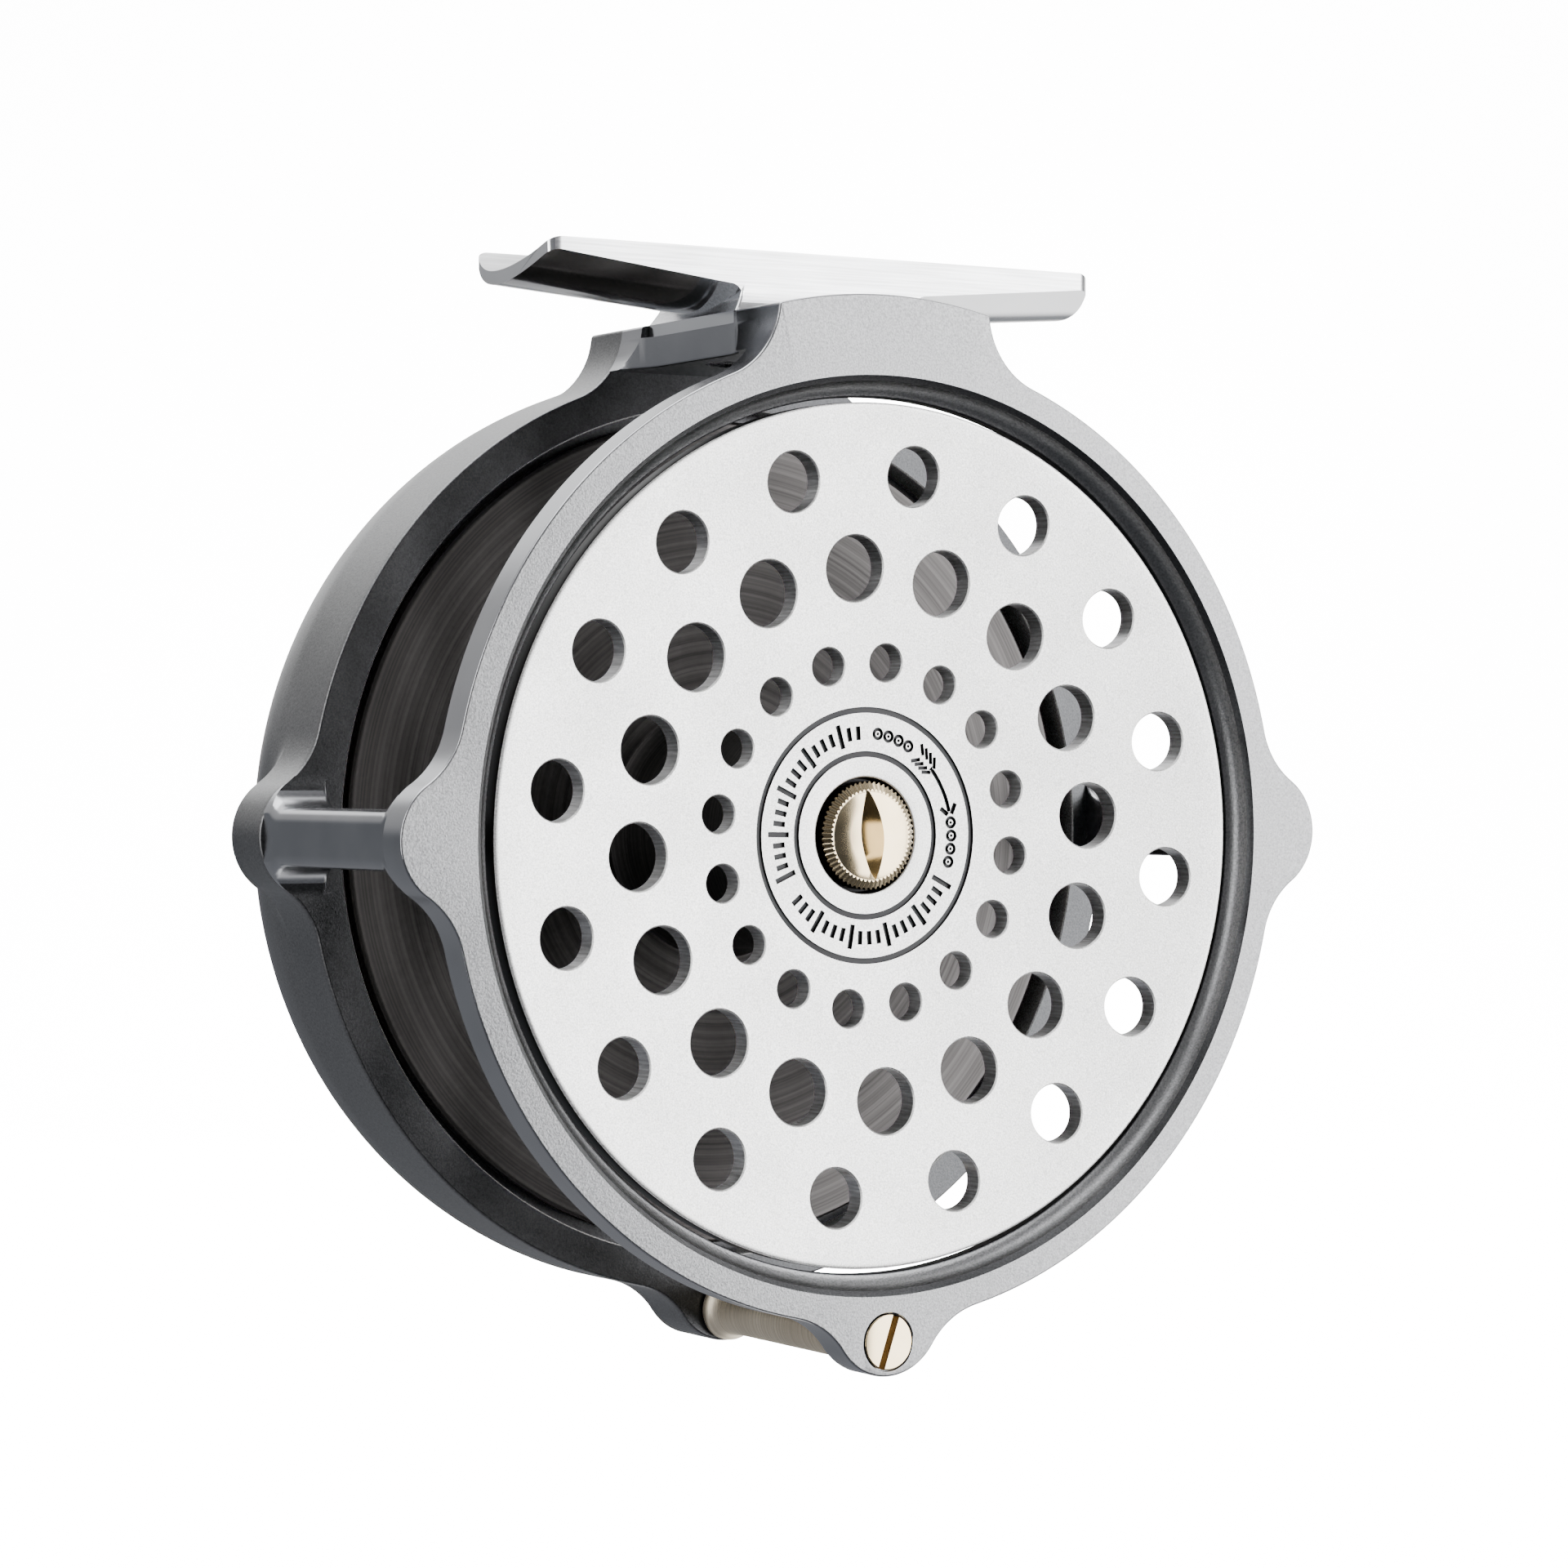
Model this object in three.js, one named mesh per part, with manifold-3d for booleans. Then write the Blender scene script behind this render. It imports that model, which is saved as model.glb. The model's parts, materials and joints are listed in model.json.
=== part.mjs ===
// Fly reel with a perforated front plate, a one-piece cage with raised lobes and a rear handle plate.
// Millimetres, +Z up, +Y towards the handle. The spindle lies along Y, and most sizes are given
// from the spindle's axis. The finished group's origin is the middle of the foot's saddle.

import * as THREE from 'three';
import { mergeVertices } from 'three/addons/utils/BufferGeometryUtils.js';
import Module from 'manifold-3d';

const wasm = await Module();
wasm.setup();

// ---------------------------------------------------------------- driving dimensions

const RING_FRONT = -2.25;          // front face of the front ring
const RING_BACK = 1.45;            // back face of the front ring
const CUP_FRONT = 27.2;            // front face of the back ring
const LOBE_BACK = 33.6;            // where the back ring's lobes end
const RING_R = 45.5;               // outside of both rings
const LOBE_R = 6;                  // round tip of a lobe
const LOBE_CENTRE = 44.45;         // tip centre, from the spindle
const LOBE_FILLET = 8;             // hollow between lobe and ring
const TOP_R = 50.45;               // top of the platform, and reach of the lobes
const TOP_FILLET = 7.8;            // hollow between platform and ring
const TOP_FILLET_ANGLE = 21.4;     // degrees from straight up to the centre of that hollow
const OPENING_R = 41;              // opening of the front ring
const OPENING_LIP_R = 42.85;       // front edge of the opening's hollow
const OPENING_LIP_BACK = -0.1;     // where that hollow meets the opening

const PILLAR_HALF = 2.7;           // half the height of a side pillar
const PILLAR_INNER = 43.7;         // inner face of a side pillar
const BRIDGE_HALF = 11.2;          // half the width of the bridge under the foot
const BRIDGE_UNDER = 45;
const BRIDGE_FILLET = 5;

const DOME_START = 35;             // the cup's side is straight to here, then curves in
const DOME_ARC = 20.4;
const CUP_REAR = 47.6;
const FLANGE_POCKET_R = 42;        // pocket for the spool's back flange
const WEB_FRONT = 30.4;
const WEB_BACK = 33;
const CHAMBER_R = 42;              // check chamber behind the web
const REAR_OPENING_R = 39.4;
const BOSS_R = 9.6;
const BOSS_END = 39;
const SPINDLE_PASS_R = 5.6;

const PLATE_R = 40.5;
const DISH_DEPTH = 1.72;           // how far the plate's middle lies behind the ring of outer holes
const DISH_RADIUS = 336.5;
const PLATE_THICK = 2.2;
const HOLE_RINGS = [
  { radius: 34, hole: 2.8, first: 172.6 },
  { radius: 25.07, hole: 3.1, first: 161.35 },
  { radius: 16.36, hole: 1.75, first: 172.6 },
];
const HOLES_PER_RING = 16;
const LOCK_RECESS_R = 5.45;
const LOCK_SEAT = 3.3;             // floor of the lock screw's recess
const LOCK_HEAD_R = 5.1;
const LOCK_HEAD_FRONT = 0.5;
const PLUG_R = 8.7;                // locating plugs of plate and flange in the arbor
const PLUG_END = 5.8;
const FLANGE_PLUG_END = 25.8;
const FLANGE_PLUG_BORE_R = 5.9;
const FLANGE_FLOOR = 27.5;         // front of the flange inside its plug
const FLANGE_SCREW_PITCH_R = 7.3;

const ARBOR_R = 11.5;
const ARBOR_BORE_R = 9;
const FLANGE_R = 40.8;
const FLANGE_FRONT = 28.3;
const FLANGE_BACK = 29.9;
const SPINDLE_R = 3.5;
const FIT = 0.3;                   // clearance round shafts and screws
const DRIVE_PIN_R = 1;
const DRIVE_PIN_HALF = 5.5;
const DRIVE_PIN_Y = 28.45;

const BEARING_FRONT = 30.9;
const BEARING_WIDTH = 3.5;
const BEARING_SPACE = 0.5;
const BEARING_R = 7;
const BEARING_BORE_R = 3.7;
const BALL_R = 0.85;
const BALL_PITCH_R = 5.4;
const BALLS = 7;
const SEAT_R = 7.15;               // bearing seat in the boss

const RATCHET_TEETH = 36;
const RATCHET_R = 13;
const RATCHET_ROOT = 11.7;
const RATCHET_FRONT = 39.3;
const RATCHET_BACK = 41.3;
const HUB_FRONT = 41.5;            // front of the handle plate's hub
const HANDLE_PLATE_R = 39;
const HANDLE_PLATE_FRONT = 44.2;
const HANDLE_PLATE_BACK = 47.2;
const HANDLE_PLATE_SEAT = 45.4;    // floor of the recess for its screw
const DRIVE_SQUARE = 4.8;

const HANDLE_OFFSET = 27;          // handle from the spindle
const HANDLE_ANGLE = -20;
const HANDLE_END = 70;
const STEM_R = 2.2;

const REGULATOR_ANGLE = -35;       // degrees, where the regulator passes the cup's wall
const REGULATOR_Y = 39.7;
const KNOB_R = 3.6;
const CAM_AT = 31;                 // cam's inner face, from the spindle
const CAM_R = 2.6;
const CAM_THROW = 0.8;
// The check lies along the regulator's radius: "out" is along it, "across" is square to it.
const PAWL_PIVOT = { out: 19.5, across: 9 };
const PAWL_TIP = { out: 12.55, across: 2.2 };   // in the gap between two teeth
const PAWL_EYE_R = 3;
const SPRING_LINE = 3.7;           // the leaf lies beside the cam at this distance
const SPRING_THICK = 0.5;
const SPRING_OUTER = 38.6;
const SPRING_TIP = 18.9;

const FOOT_HALF = 30;
const FOOT_FRONT = 7.7;
const FOOT_BACK = 22.4;
const FOOT_TOP = 55.1;
const SADDLE_BOTTOM = 52.5;
const PEDESTAL_HALF = 9.7;
const PLINTH_HALF = 10.4;          // the pedestal's wider base, let into the bridge
const PLINTH_SPREAD = 0.9;         // how far the base stands out in front and behind
const PLINTH_TOP = 49;
const PEDESTAL_BOTTOM = 48;
const WING_END_UNDER = 51.6;       // underside of the foot at its ends
const WING_ROOT_UNDER = 49.4;      // underside of the foot at the pedestal
const WING_UNDER_R = 15;
const FOOT_SCREW_X = 6;

const GUARD_Z = -47.2;
const GUARD_R = 2.35;
const GUARD_COLLAR_R = 3.1;
const GUARD_SCREW_HEAD_R = 2.6;
const GUARD_SCREW_HEAD = 1.8;       // height of its head
const GUARD_SLOT_ANGLE = 71;       // degrees from +X

const COARSE = 40;                 // sides of the large round pieces
const FINE = 16;                   // sides of the small ones

const FOOT_MIDDLE = (FOOT_FRONT + FOOT_BACK) / 2;
const SADDLE_R = ((FOOT_BACK - FOOT_FRONT) ** 2 / 4 + (FOOT_TOP - SADDLE_BOTTOM) ** 2)
  / (2 * (FOOT_TOP - SADDLE_BOTTOM));

// ---------------------------------------------------------------- geometry helpers

const rad = THREE.MathUtils.degToRad;

function tidyGeometry(geometry) {
  // Merges shared corners, drops collapsed triangles and turns the faces outwards.
  const bare = geometry.clone();
  bare.deleteAttribute('normal');
  bare.deleteAttribute('uv');
  const merged = mergeVertices(bare, 1e-4);
  const p = merged.attributes.position;
  const kept = [];
  for (let i = 0; i < merged.index.count; i += 3) {
    const [a, b, c] = [0, 1, 2].map((k) => merged.index.getX(i + k));
    if (a !== b && b !== c && c !== a) kept.push([a, b, c]);
  }
  const corner = (i) => new THREE.Vector3().fromBufferAttribute(p, i);
  const volume = kept.reduce((sum, [a, b, c]) => sum + corner(a).dot(corner(b).cross(corner(c))), 0);
  const faces = volume > 0 ? kept : kept.map(([a, b, c]) => [a, c, b]);
  merged.setIndex(faces.flat());
  return merged;
}

function solid(geometry) {
  const g = tidyGeometry(geometry);
  const vertProperties = new Float32Array(g.attributes.position.array);
  return new wasm.Manifold(new wasm.Mesh({
    numProp: 3, vertProperties, triVerts: new Uint32Array(g.index.array),
  }));
}

function geometryOf(body) {
  const mesh = body.getMesh();
  const g = new THREE.BufferGeometry();
  g.setAttribute('position', new THREE.BufferAttribute(new Float32Array(mesh.vertProperties), 3));
  g.setIndex(new THREE.BufferAttribute(new Uint32Array(mesh.triVerts), 1));
  return g;
}

const joined = (bodies) => bodies.reduce((a, b) => a.add(b));
const cut = (body, tools) => tools.reduce((a, b) => a.subtract(b), body);

function turned(profile, sides = FINE) {
  // Turns a closed outline of [radius, y] points about the Y axis.
  const points = profile.map(([r, y]) => new THREE.Vector2(r, y));
  const first = points[0];
  const last = points[points.length - 1];
  if (first.x !== 0 || last.x !== 0) points.push(first.clone());
  return solid(new THREE.LatheGeometry(points, sides));
}

const disc = (r, y0, y1, sides = FINE) => turned([[0, y0], [r, y0], [r, y1], [0, y1]], sides);
const tube = (inner, outer, y0, y1, sides = FINE) => (
  turned([[inner, y0], [outer, y0], [outer, y1], [inner, y1]], sides)
);

function arc(cx, cy, r, from, to, count) {
  // Points on an arc, with its angles in degrees.
  return Array.from({ length: count + 1 }, (_, i) => {
    const a = rad(from + ((to - from) * i) / count);
    return new THREE.Vector2(cx + r * Math.cos(a), cy + r * Math.sin(a));
  });
}

function extrudedAlongY(points, y0, y1) {
  // Extrudes an outline drawn in the XZ plane from y0 to y1.
  const g = new THREE.ExtrudeGeometry(new THREE.Shape(points), { depth: y1 - y0, bevelEnabled: false });
  return solid(g.rotateX(Math.PI / 2).translate(0, y1, 0));
}

function extrudedAlongZ(points, z0, z1) {
  const g = new THREE.ExtrudeGeometry(new THREE.Shape(points), { depth: z1 - z0, bevelEnabled: false });
  return solid(g.translate(0, 0, z0));
}

function block(x0, x1, y0, y1, z0, z1) {
  const g = new THREE.BoxGeometry(x1 - x0, y1 - y0, z1 - z0);
  return solid(g.translate((x0 + x1) / 2, (y0 + y1) / 2, (z0 + z1) / 2));
}

const corners = (list) => list.map(([x, y]) => new THREE.Vector2(x, y));
const moved = (body, x, y, z) => body.translate([x, y, z]);
const spunAboutY = (body, degrees) => body.rotate([0, -degrees, 0]);   // from +X towards +Z
const stoodUp = (body) => body.rotate([90, 0, 0]);                     // from along Y to along Z

// ---------------------------------------------------------------- cage

function lobe(direction) {
  // Outline of one lobe, anticlockwise, with the start and end of its hollows on the ring.
  const reach = RING_R + LOBE_FILLET;
  const toTip = LOBE_R + LOBE_FILLET;
  const half = Math.acos((reach ** 2 + LOBE_CENTRE ** 2 - toTip ** 2) / (2 * reach * LOBE_CENTRE));
  const lean = Math.atan2(reach * Math.sin(half), reach * Math.cos(half) - LOBE_CENTRE);
  const [h, l] = [THREE.MathUtils.radToDeg(half), THREE.MathUtils.radToDeg(lean)];
  const at = (angle, r) => [r * Math.cos(rad(direction + angle)), r * Math.sin(rad(direction + angle))];
  const points = [
    ...arc(...at(-h, reach), LOBE_FILLET, direction - h + 180, direction - l + 180, 3),
    ...arc(...at(0, LOBE_CENTRE), LOBE_R, direction - l, direction + l, 8).slice(1),
    ...arc(...at(h, reach), LOBE_FILLET, direction + l + 180, direction + h + 180, 3).slice(1),
  ];
  return { points, from: direction - h, to: direction + h };
}

function platform() {
  const reach = RING_R + TOP_FILLET;
  const cx = reach * Math.sin(rad(TOP_FILLET_ANGLE));
  const cz = reach * Math.cos(rad(TOP_FILLET_ANGLE));
  // The hollow ends where it meets the platform's top.
  const swept = THREE.MathUtils.radToDeg(Math.acos(
    (reach ** 2 + TOP_FILLET ** 2 - TOP_R ** 2) / (2 * reach * TOP_FILLET),
  ));
  const start = 270 - TOP_FILLET_ANGLE;
  const edgeX = cx + TOP_FILLET * Math.cos(rad(start - swept));
  const edge = THREE.MathUtils.radToDeg(Math.acos(edgeX / TOP_R));
  const points = [
    ...arc(cx, cz, TOP_FILLET, start, start - swept, 4),
    ...arc(0, 0, TOP_R, edge, 180 - edge, 4).slice(1),
    ...arc(-cx, cz, TOP_FILLET, 180 - start + swept, 180 - start, 4).slice(1),
  ];
  return { points, from: 90 - TOP_FILLET_ANGLE, to: 90 + TOP_FILLET_ANGLE };
}

function ringOutline() {
  // The ring with its lobes right, left and below, and the platform on top.
  const features = [lobe(0), platform(), lobe(180), lobe(270)];
  return features.flatMap((feature, i) => {
    const next = features[(i + 1) % features.length];
    const end = next.from + (i === features.length - 1 ? 360 : 0);
    return [...feature.points, ...arc(0, 0, RING_R, feature.to, end, 6).slice(1, -1)];
  });
}

function pillar(side) {
  const reach = LOBE_CENTRE + Math.sqrt(LOBE_R ** 2 - PILLAR_HALF ** 2);
  const points = corners([
    [PILLAR_INNER, -PILLAR_HALF], [reach, -PILLAR_HALF], [LOBE_CENTRE + LOBE_R, 0],
    [reach, PILLAR_HALF], [PILLAR_INNER, PILLAR_HALF],
  ]);
  return spunAboutY(extrudedAlongY(points, RING_BACK - 1, CUP_FRONT + 1), side);
}

function bridge(outline) {
  const edge = THREE.MathUtils.radToDeg(Math.acos(BRIDGE_HALF / TOP_R));
  const section = [
    ...corners([[-BRIDGE_HALF, BRIDGE_UNDER], [BRIDGE_HALF, BRIDGE_UNDER]]),
    ...arc(0, 0, TOP_R, edge, 180 - edge, 4),
  ];
  const bar = extrudedAlongY(section, RING_BACK - 1, CUP_FRONT + 1);
  const hollow = (sx, yFace, sy) => {
    const cx = sx * (BRIDGE_HALF + BRIDGE_FILLET);
    const cy = yFace - sy * BRIDGE_FILLET;
    const start = sx > 0 ? 180 : 0;
    const curve = arc(cx, cy, BRIDGE_FILLET, start, start - sx * sy * 90, 4);
    return extrudedAlongZ([...corners([[sx * (BRIDGE_HALF - 1), yFace + sy],
      [sx * (BRIDGE_HALF - 1), cy]]), ...curve, ...corners([[cx, yFace + sy]])], BRIDGE_UNDER, TOP_R + 1);
  };
  const within = extrudedAlongY(outline, RING_FRONT, CUP_FRONT + 2);
  const fillets = [1, -1].flatMap((sx) => [hollow(sx, CUP_FRONT, 1), hollow(sx, RING_BACK, -1)]);
  return bar.add(joined(fillets).intersect(within));
}

function cup() {
  const tilt = THREE.MathUtils.radToDeg(Math.asin((CUP_REAR - DOME_START) / DOME_ARC));
  const dome = arc(RING_R - DOME_ARC, DOME_START, DOME_ARC, 0, tilt, 4).map((p) => [p.x, p.y]);
  const shell = turned([
    [FLANGE_POCKET_R, CUP_FRONT], [RING_R, CUP_FRONT], ...dome,
    [REAR_OPENING_R, CUP_REAR], [REAR_OPENING_R, BOSS_END + 3], [CHAMBER_R, BOSS_END + 0.4],
    [CHAMBER_R, WEB_BACK], [CHAMBER_R - 2, WEB_BACK], [CHAMBER_R - 2, WEB_FRONT],
    [FLANGE_POCKET_R, WEB_FRONT],
  ], COARSE);
  const web = turned([
    [SPINDLE_PASS_R, WEB_FRONT], [CHAMBER_R - 1, WEB_FRONT], [CHAMBER_R - 1, WEB_BACK],
    [BOSS_R, WEB_BACK], [BOSS_R, BOSS_END], [SEAT_R, BOSS_END], [SEAT_R, BEARING_FRONT],
    [SPINDLE_PASS_R, BEARING_FRONT],
  ], COARSE);
  return shell.add(web);
}

function regulatorAxis(body) {
  // Lays a piece turned about Y along the regulator's own axis, which points out through the cup.
  return moved(spunAboutY(body.rotate([0, 0, -90]), REGULATOR_ANGLE), 0, REGULATOR_Y, 0);
}

function cage() {
  const outline = ringOutline();
  const lip = turned([
    [OPENING_R - 2, RING_FRONT - 1], [OPENING_LIP_R, RING_FRONT - 1],
    [OPENING_LIP_R, RING_FRONT], [OPENING_R, OPENING_LIP_BACK], [OPENING_R - 2, OPENING_LIP_BACK],
  ], COARSE);
  const frontRing = cut(extrudedAlongY(outline, RING_FRONT, RING_BACK), [
    disc(OPENING_R, RING_FRONT - 1, RING_BACK + 1, COARSE), lip,
  ]);
  const backRing = extrudedAlongY(outline, CUP_FRONT, LOBE_BACK)
    .subtract(disc(RING_R - 1.5, CUP_FRONT - 1, LOBE_BACK + 1, COARSE));
  const body = joined([frontRing, backRing, cup(), pillar(0), pillar(180), bridge(outline)]);
  const seatHalf = BRIDGE_HALF + 1;
  const spread = PLINTH_SPREAD + FIT;
  const seat = block(-seatHalf, seatHalf, FOOT_FRONT - spread, FOOT_BACK + spread, PEDESTAL_BOTTOM,
    TOP_R + 1);
  const footHoles = [-FOOT_SCREW_X, FOOT_SCREW_X].map((x) => moved(stoodUp(turned([
    [0, BRIDGE_UNDER - 1], [2.9, BRIDGE_UNDER - 1], [2.9, BRIDGE_UNDER + 0.3],
    [1.7, BRIDGE_UNDER + 1.5], [1.7, PEDESTAL_BOTTOM + 1], [0, PEDESTAL_BOTTOM + 1],
  ], 12)), x, FOOT_MIDDLE, 0));
  const guardHole = moved(turned([
    [0, RING_FRONT - 1], [GUARD_SCREW_HEAD_R + 0.2, RING_FRONT - 1],
    [GUARD_SCREW_HEAD_R + 0.2, RING_FRONT + GUARD_SCREW_HEAD], [1.6, RING_FRONT + GUARD_SCREW_HEAD],
    [1.6, CUP_FRONT + 4.6], [0, CUP_FRONT + 4.6],
  ], 16), 0, 0, GUARD_Z);
  const regulatorHole = regulatorAxis(disc(1.9, CHAMBER_R - 4, RING_R + 2, 12));
  const clipGroove = tube(SEAT_R - 1, SEAT_R + 0.5, BOSS_END - 0.6, BOSS_END - 0.05, COARSE);
  return cut(body, [seat, ...footHoles, guardHole, regulatorHole, clipGroove]);
}

// ---------------------------------------------------------------- foot

function foot() {
  const lower = PEDESTAL_BOTTOM - 1;
  const wing = (side) => {
    const lean = THREE.MathUtils.radToDeg(
      Math.atan2(WING_ROOT_UNDER - WING_END_UNDER, FOOT_HALF - PEDESTAL_HALF),
    );
    const roller = solid(new THREE.CylinderGeometry(WING_UNDER_R, WING_UNDER_R, 120, 90))
      .rotate([0, 0, 90]).rotate([0, side * lean, 0]);
    const rise = WING_UNDER_R / Math.cos(rad(lean));
    const under = moved(roller, side * FOOT_HALF, FOOT_MIDDLE, WING_END_UNDER + rise);
    const [x0, x1] = side < 0 ? [-FOOT_HALF, 0] : [0, FOOT_HALF];
    return block(x0, x1, FOOT_FRONT, FOOT_BACK, lower, FOOT_TOP).intersect(under);
  };
  const pedestal = block(-PEDESTAL_HALF, PEDESTAL_HALF, FOOT_FRONT, FOOT_BACK, PEDESTAL_BOTTOM, 53);
  const plinth = block(-PLINTH_HALF, PLINTH_HALF, FOOT_FRONT - PLINTH_SPREAD,
    FOOT_BACK + PLINTH_SPREAD, PEDESTAL_BOTTOM, PLINTH_TOP);
  const saddleSides = 36;
  const saddle = solid(new THREE.CylinderGeometry(SADDLE_R, SADDLE_R, 2 * FOOT_HALF + 4, saddleSides))
    .rotate([0, 0, 90]).rotate([180 / saddleSides, 0, 0]);
  const apothem = SADDLE_R * Math.cos(Math.PI / saddleSides);
  const holes = [-FOOT_SCREW_X, FOOT_SCREW_X].map((x) => (
    moved(stoodUp(disc(1.6, PEDESTAL_BOTTOM - 1, SADDLE_BOTTOM - 1, 12)), x, FOOT_MIDDLE, 0)
  ));
  return cut(joined([wing(-1), wing(1), pedestal, plinth]), [
    moved(saddle, 0, FOOT_MIDDLE, SADDLE_BOTTOM + apothem), ...holes,
  ]);
}

function footScrew(x) {
  const screw = turned([
    [0, BRIDGE_UNDER + 0.2], [2.5, BRIDGE_UNDER + 0.2], [1.3, BRIDGE_UNDER + 1.4],
    [1.3, SADDLE_BOTTOM - 1.6], [0, SADDLE_BOTTOM - 1.6],
  ], 12);
  const slot = block(-3, 3, -0.35, 0.35, BRIDGE_UNDER - 1, BRIDGE_UNDER + 0.6);
  return moved(stoodUp(screw).subtract(slot), x, FOOT_MIDDLE, 0);
}

// ---------------------------------------------------------------- spool

const dish = (r) => DISH_DEPTH - (r * r) / (2 * DISH_RADIUS);

function frontPlate() {
  const front = [PLATE_R, 26].map((r) => [r, dish(r)]);
  const back = [PLUG_R, PLATE_R].map((r) => [r, dish(r) + PLATE_THICK]);
  const plate = turned([
    ...front, [LOCK_RECESS_R, dish(LOCK_RECESS_R)], [LOCK_RECESS_R, LOCK_SEAT], [2, LOCK_SEAT],
    [2, PLUG_END], [PLUG_R, PLUG_END], ...back,
  ], COARSE);
  const holes = HOLE_RINGS.flatMap(({ radius, hole, first }) => (
    Array.from({ length: HOLES_PER_RING }, (_, i) => {
      const a = rad(first - (360 * i) / HOLES_PER_RING);
      return moved(disc(hole, -4, 8, 8), radius * Math.cos(a), 0, radius * Math.sin(a));
    })
  ));
  return cut(plate, holes);
}

const flangeScrewSpots = [30, 150, 270].map((a) => [
  FLANGE_SCREW_PITCH_R * Math.cos(rad(a)), FLANGE_SCREW_PITCH_R * Math.sin(rad(a)),
]);

function arbor() {
  const front = dish(PLUG_R) + PLATE_THICK + 0.05;
  const body = tube(ARBOR_BORE_R, ARBOR_R, front, FLANGE_FRONT, 24);
  const shelf = tube(6, ARBOR_BORE_R + 0.5, 21, FLANGE_PLUG_END - 0.3, 24);
  const holes = flangeScrewSpots.map(([x, z]) => moved(disc(0.9, 20, 26, 10), x, 0, z));
  return cut(body.add(shelf), holes);
}

function backFlange() {
  const body = turned([
    [SPINDLE_R + FIT, FLANGE_BACK], [FLANGE_R, FLANGE_BACK], [FLANGE_R, FLANGE_FRONT + 0.5],
    [FLANGE_R - 0.5, FLANGE_FRONT], [PLUG_R, FLANGE_FRONT], [PLUG_R, FLANGE_PLUG_END],
    [FLANGE_PLUG_BORE_R, FLANGE_PLUG_END], [FLANGE_PLUG_BORE_R, FLANGE_FLOOR],
    [SPINDLE_R + FIT, FLANGE_FLOOR],
  ], COARSE);
  const pinRoom = DRIVE_PIN_HALF + FIT;
  const slot = block(-pinRoom, pinRoom, FLANGE_FLOOR - 1, FLANGE_BACK + 1, -1.3, 1.3);
  const holes = flangeScrewSpots.map(([x, z]) => moved(turned([
    [0, FLANGE_PLUG_END - 1], [0.9, FLANGE_PLUG_END - 1], [0.9, FLANGE_BACK - 1.1],
    [1.5, FLANGE_BACK - 1.1], [1.5, FLANGE_BACK + 1], [0, FLANGE_BACK + 1],
  ], 10), x, 0, z));
  return cut(body, [slot, ...holes]);
}

function flangeScrew([x, z]) {
  const screw = turned([
    [0, 21.3], [0.65, 21.3], [0.65, FLANGE_BACK - 1.1], [1.3, FLANGE_BACK - 1.1],
    [1.3, FLANGE_BACK - 0.1], [0, FLANGE_BACK - 0.1],
  ], 10);
  const slot = block(-2, 2, FLANGE_BACK - 0.5, FLANGE_BACK + 1, -0.2, 0.2);
  return moved(screw.subtract(slot), x, 0, z);
}

function spindle() {
  const rearStop = HANDLE_PLATE_SEAT - FIT;
  const shaft = turned([
    [0, PLUG_END], [SPINDLE_R, PLUG_END], [SPINDLE_R, FLANGE_BACK], [4.6, FLANGE_BACK],
    [4.6, BEARING_FRONT], [SPINDLE_R, BEARING_FRONT], [SPINDLE_R, HUB_FRONT], [0, HUB_FRONT],
  ]);
  const half = DRIVE_SQUARE / 2;
  const square = block(-half, half, HUB_FRONT - 1, rearStop, -half, half);
  const crossHole = disc(DRIVE_PIN_R + 0.15, -8, 8, 12).rotate([0, 0, 90]);
  return cut(shaft.add(square), [
    disc(1.8, PLUG_END - 1, 17, 12), disc(1.8, 37, rearStop + 1, 12),
    moved(crossHole, 0, DRIVE_PIN_Y, 0),
  ]);
}

function lockScrew() {
  // Knurled, slightly domed head with a wide slot, and a plain shank.
  const grooves = 24;
  const head = turned([
    [0, LOCK_HEAD_FRONT - 0.15], [2.2, LOCK_HEAD_FRONT - 0.1], [4.2, LOCK_HEAD_FRONT + 0.15],
    [LOCK_HEAD_R, LOCK_HEAD_FRONT + 0.6], [LOCK_HEAD_R, LOCK_SEAT], [1.5, LOCK_SEAT], [1.5, 16],
    [0, 16],
  ], grooves);
  const slot = block(-0.8, 0.8, LOCK_HEAD_FRONT - 2, LOCK_HEAD_FRONT + 1.2, -6, 6);
  return head.subtract(slot);
}

// ---------------------------------------------------------------- bearings

function bearingRing(inner, outer, start, grooveOn) {
  const middle = start + BEARING_WIDTH / 2;
  const race = BALL_R + 0.12;
  const groove = [-1, 0, 1].map((s) => {
    const along = race * 0.9 * s;
    const depth = Math.sqrt(race ** 2 - along ** 2);
    const r = grooveOn === 'inside' ? BALL_PITCH_R + depth : BALL_PITCH_R - depth;
    return [grooveOn === 'inside' ? Math.max(r, inner) : Math.min(r, outer), middle + along];
  });
  const end = start + BEARING_WIDTH;
  return grooveOn === 'inside'
    ? turned([[inner, start], [outer, start], [outer, end], [inner, end], ...groove.reverse()])
    : turned([[inner, start], [outer, start], ...groove, [outer, end], [inner, end]]);
}

function ballSet(start) {
  const middle = start + BEARING_WIDTH / 2;
  const cageRing = tube(BALL_PITCH_R - 0.25, BALL_PITCH_R + 0.25, middle - 0.9, middle + 0.9, 14);
  const balls = Array.from({ length: BALLS }, (_, i) => {
    const a = (2 * Math.PI * i) / BALLS;
    const ball = solid(new THREE.IcosahedronGeometry(BALL_R, 0));
    return moved(ball, BALL_PITCH_R * Math.cos(a), middle, BALL_PITCH_R * Math.sin(a));
  });
  return joined([cageRing, ...balls]);
}

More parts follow.
